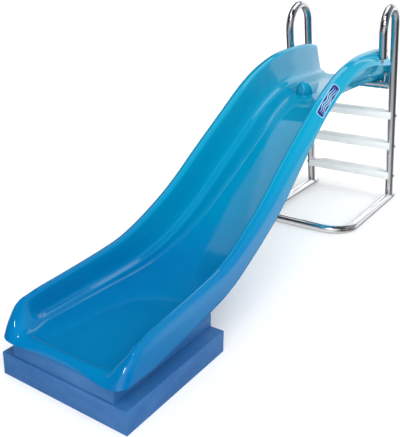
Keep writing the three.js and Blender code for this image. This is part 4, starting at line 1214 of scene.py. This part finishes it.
def make_floor():
    size = 40.0
    mesh = bpy.data.meshes.new("floor")
    corners = [(-size, -size, 0), (size, -size, 0), (size, size, 0), (-size, size, 0)]
    mesh.from_pydata(corners, [], [(0, 1, 2, 3)])
    floor = linked("floor", mesh)
    m = Shader("pale_floor", Roughness=0.9)
    m.vary(m.noise(2), (0.96, 0.96, 0.96), (0.98, 0.98, 0.98))
    mesh.materials.append(m.material)
    floor.visible_glossy = False


# Patches of the reflected studio: azimuth from the ladder side, elevation, inner and outer angle, strength.
PATCHES = (
    (-82, 2, 8, 18, 0.9),
    (28, -8, 12, 26, 0.95),
    (50, 25, 20, 45, 0.30),
    (150, 12, 18, 34, 1.0),
    (95, 5, 4, 10, 0.8),
    (55, -35, 10, 25, 0.18),
    (180, -32, 28, 50, 0.55),
    (0, -90, 25, 50, 0.5),
    (164, 33, 3.0, 4.5, 60.0),
    (-176, 52, 3.0, 4.5, 45.0),
)

# Softboxes seen only in reflections: middle, the two half sides (design mm), strength.
SOFTBOXES = {
    "softbox_overhead": ((-80, 0, 2300), (520, 0, 0), (0, 650, 0), 1.7),
    "softbox_front": ((-680, -930, 2290), (230, 0, 0), (0, 700, 0), 1.35),
    "softbox_far": ((-1150, -1100, 2280), (240, 0, 0), (0, 550, 0), 0.55),
    "softbox_rear": ((-300, 2500, 1600), (1600, 0, 0), (0, 0, 1600), 1.35),
}


BACKGROUND_GLOW = 0.84
STUDIO_GLOW = 0.02
STUDIO_FLOOR_GLOW = 0.25


def lobe(tree, where, azimuth, elevation, inner, outer, strength):
    """A round patch of light: full inside one angle from its middle and gone outside another."""
    a, e, near, far = (radians(angle) for angle in (azimuth, elevation, inner, outer))
    middle = (sin(a) * cos(e), cos(a) * cos(e), sin(e))
    nearness = add_node(tree, "VectorMath", {0: where, 1: middle}, "Value", operation="DOT_PRODUCT")
    return smooth_span(tree, nearness, cos(far), cos(near), strength)


def make_world():
    """A plain pale world for the camera and soft light; gloss sees a dimmer studio instead."""
    world = bpy.data.worlds.new("studio")
    bpy.context.scene.world = world
    world.use_nodes = True
    tree = world.node_tree
    where = add_node(tree, "TexCoord", {}, "Generated")
    height = add_node(tree, "SeparateXYZ", {0: where}, "Z")
    glow = smooth_span(tree, height, -0.1, -0.9, STUDIO_FLOOR_GLOW)
    for patch in PATCHES:
        glow = add_node(tree, "Math", {0: glow, 1: lobe(tree, where, *patch)}, operation="ADD")
    glow = add_node(tree, "Math", {0: glow, 1: STUDIO_GLOW}, operation="ADD")
    plain = tree.nodes["Background"]
    plain.inputs["Color"].default_value = (1.0, 1.0, 1.0, 1)
    plain.inputs["Strength"].default_value = BACKGROUND_GLOW
    studio = add_node(tree, "Background", {"Strength": glow})
    glossy = add_node(tree, "LightPath", {}, "Is Glossy Ray")
    both = add_node(tree, "MixShader", {0: glossy, 1: plain.outputs[0], 2: studio})
    tree.links.new(both, tree.nodes["World Output"].inputs["Surface"])


def make_softbox(name, middle, half_a, half_b, strength):
    middle, half_a, half_b = Vector(middle), Vector(half_a), Vector(half_b)
    corners = [middle + half_a * i + half_b * j for i, j in ((-1, -1), (1, -1), (1, 1), (-1, 1))]
    card = mesh_object(name, corners, [(0, 1, 2, 3)])
    material = bpy.data.materials.new(name)
    material.use_nodes = True
    tree = material.node_tree
    tree.nodes.clear()
    glow = add_node(tree, "Emission", {"Strength": strength})
    output = tree.nodes.new("ShaderNodeOutputMaterial")
    tree.links.new(glow, output.inputs["Surface"])
    card.data.materials.append(material)
    card.visible_camera = card.visible_diffuse = card.visible_shadow = False


SUN_TOWARDS = (-0.56, 0.47, -0.68)
SUN_STRENGTH = 2.2
SUN_WIDTH = radians(70)


def make_sun():
    """A broad soft light that shapes the object but isn't itself seen in its gloss."""
    data = bpy.data.lights.new("key", "SUN")
    data.energy = SUN_STRENGTH
    data.angle = SUN_WIDTH
    light = linked("key", data)
    light.rotation_euler = Vector(SUN_TOWARDS).to_track_quat("-Z", "Y").to_euler()
    light.visible_glossy = False


def make_lights():
    make_world()
    for name, card in SOFTBOXES.items():
        make_softbox(name, *card)
    make_sun()


CAMERA_AT = (1355.3, -3862.1, 1392.1)
CAMERA_AZIMUTH = radians(36.894)
CAMERA_DIP = radians(18.374)
CAMERA_ROLL = radians(-0.647)
CAMERA_LENS = 53.78
CAMERA_SHIFT = (0.1053, -0.0904)


def make_camera():
    a, p, r = CAMERA_AZIMUTH, CAMERA_DIP, CAMERA_ROLL
    ahead = Vector((-sin(a) * cos(p), cos(a) * cos(p), -sin(p)))
    right = Vector((cos(a), sin(a), 0))
    up = right.cross(ahead)
    rolled_right = right * cos(r) + up * sin(r)
    rolled_up = up * cos(r) - right * sin(r)
    data = bpy.data.cameras.new("camera")
    data.lens = CAMERA_LENS
    data.shift_x, data.shift_y = CAMERA_SHIFT
    camera = linked("camera", data)
    turn = Matrix((rolled_right, rolled_up, -ahead)).transposed()
    camera.matrix_world = Matrix.Translation(row_point(CAMERA_AT)) @ turn.to_4x4()
    bpy.context.scene.camera = camera


# ---- Everything in place ----


def build():
    steel, weld = steel_material(), weld_material()
    gelcoat, plastic, rubber = gelcoat_material(), plastic_material(), rubber_material()
    treads, paint = tread_material(), paint_material()
    chute = make_chute(gelcoat)
    make_label(chute, film_material("label_blue", (0.006, 0.02, 0.16), (0.01, 0.03, 0.2)),
               film_material("label_light", (0.30, 0.55, 0.72), (0.36, 0.62, 0.78)))
    make_rails(steel, weld)
    make_base(steel, plastic)
    for name, height in TREADS.items():
        make_tread(name, height, treads, steel)
    make_crossbar(steel, weld)
    make_brackets(steel)
    make_bracket_bolts(steel)
    make_hoop_fixings(plastic, steel)
    make_nozzle(gelcoat, plastic, rubber)
    for node in ("base_block_lower", "base_block_upper"):
        make_block(node, BLOCK_EDGE, paint)
    for node in ("rest_pad_front", "rest_pad_rear"):
        make_block(node, PAD_EDGE, rubber)


make_camera()
make_lights()
make_floor()
build()
bpy.context.scene.view_settings.view_transform = "Standard"
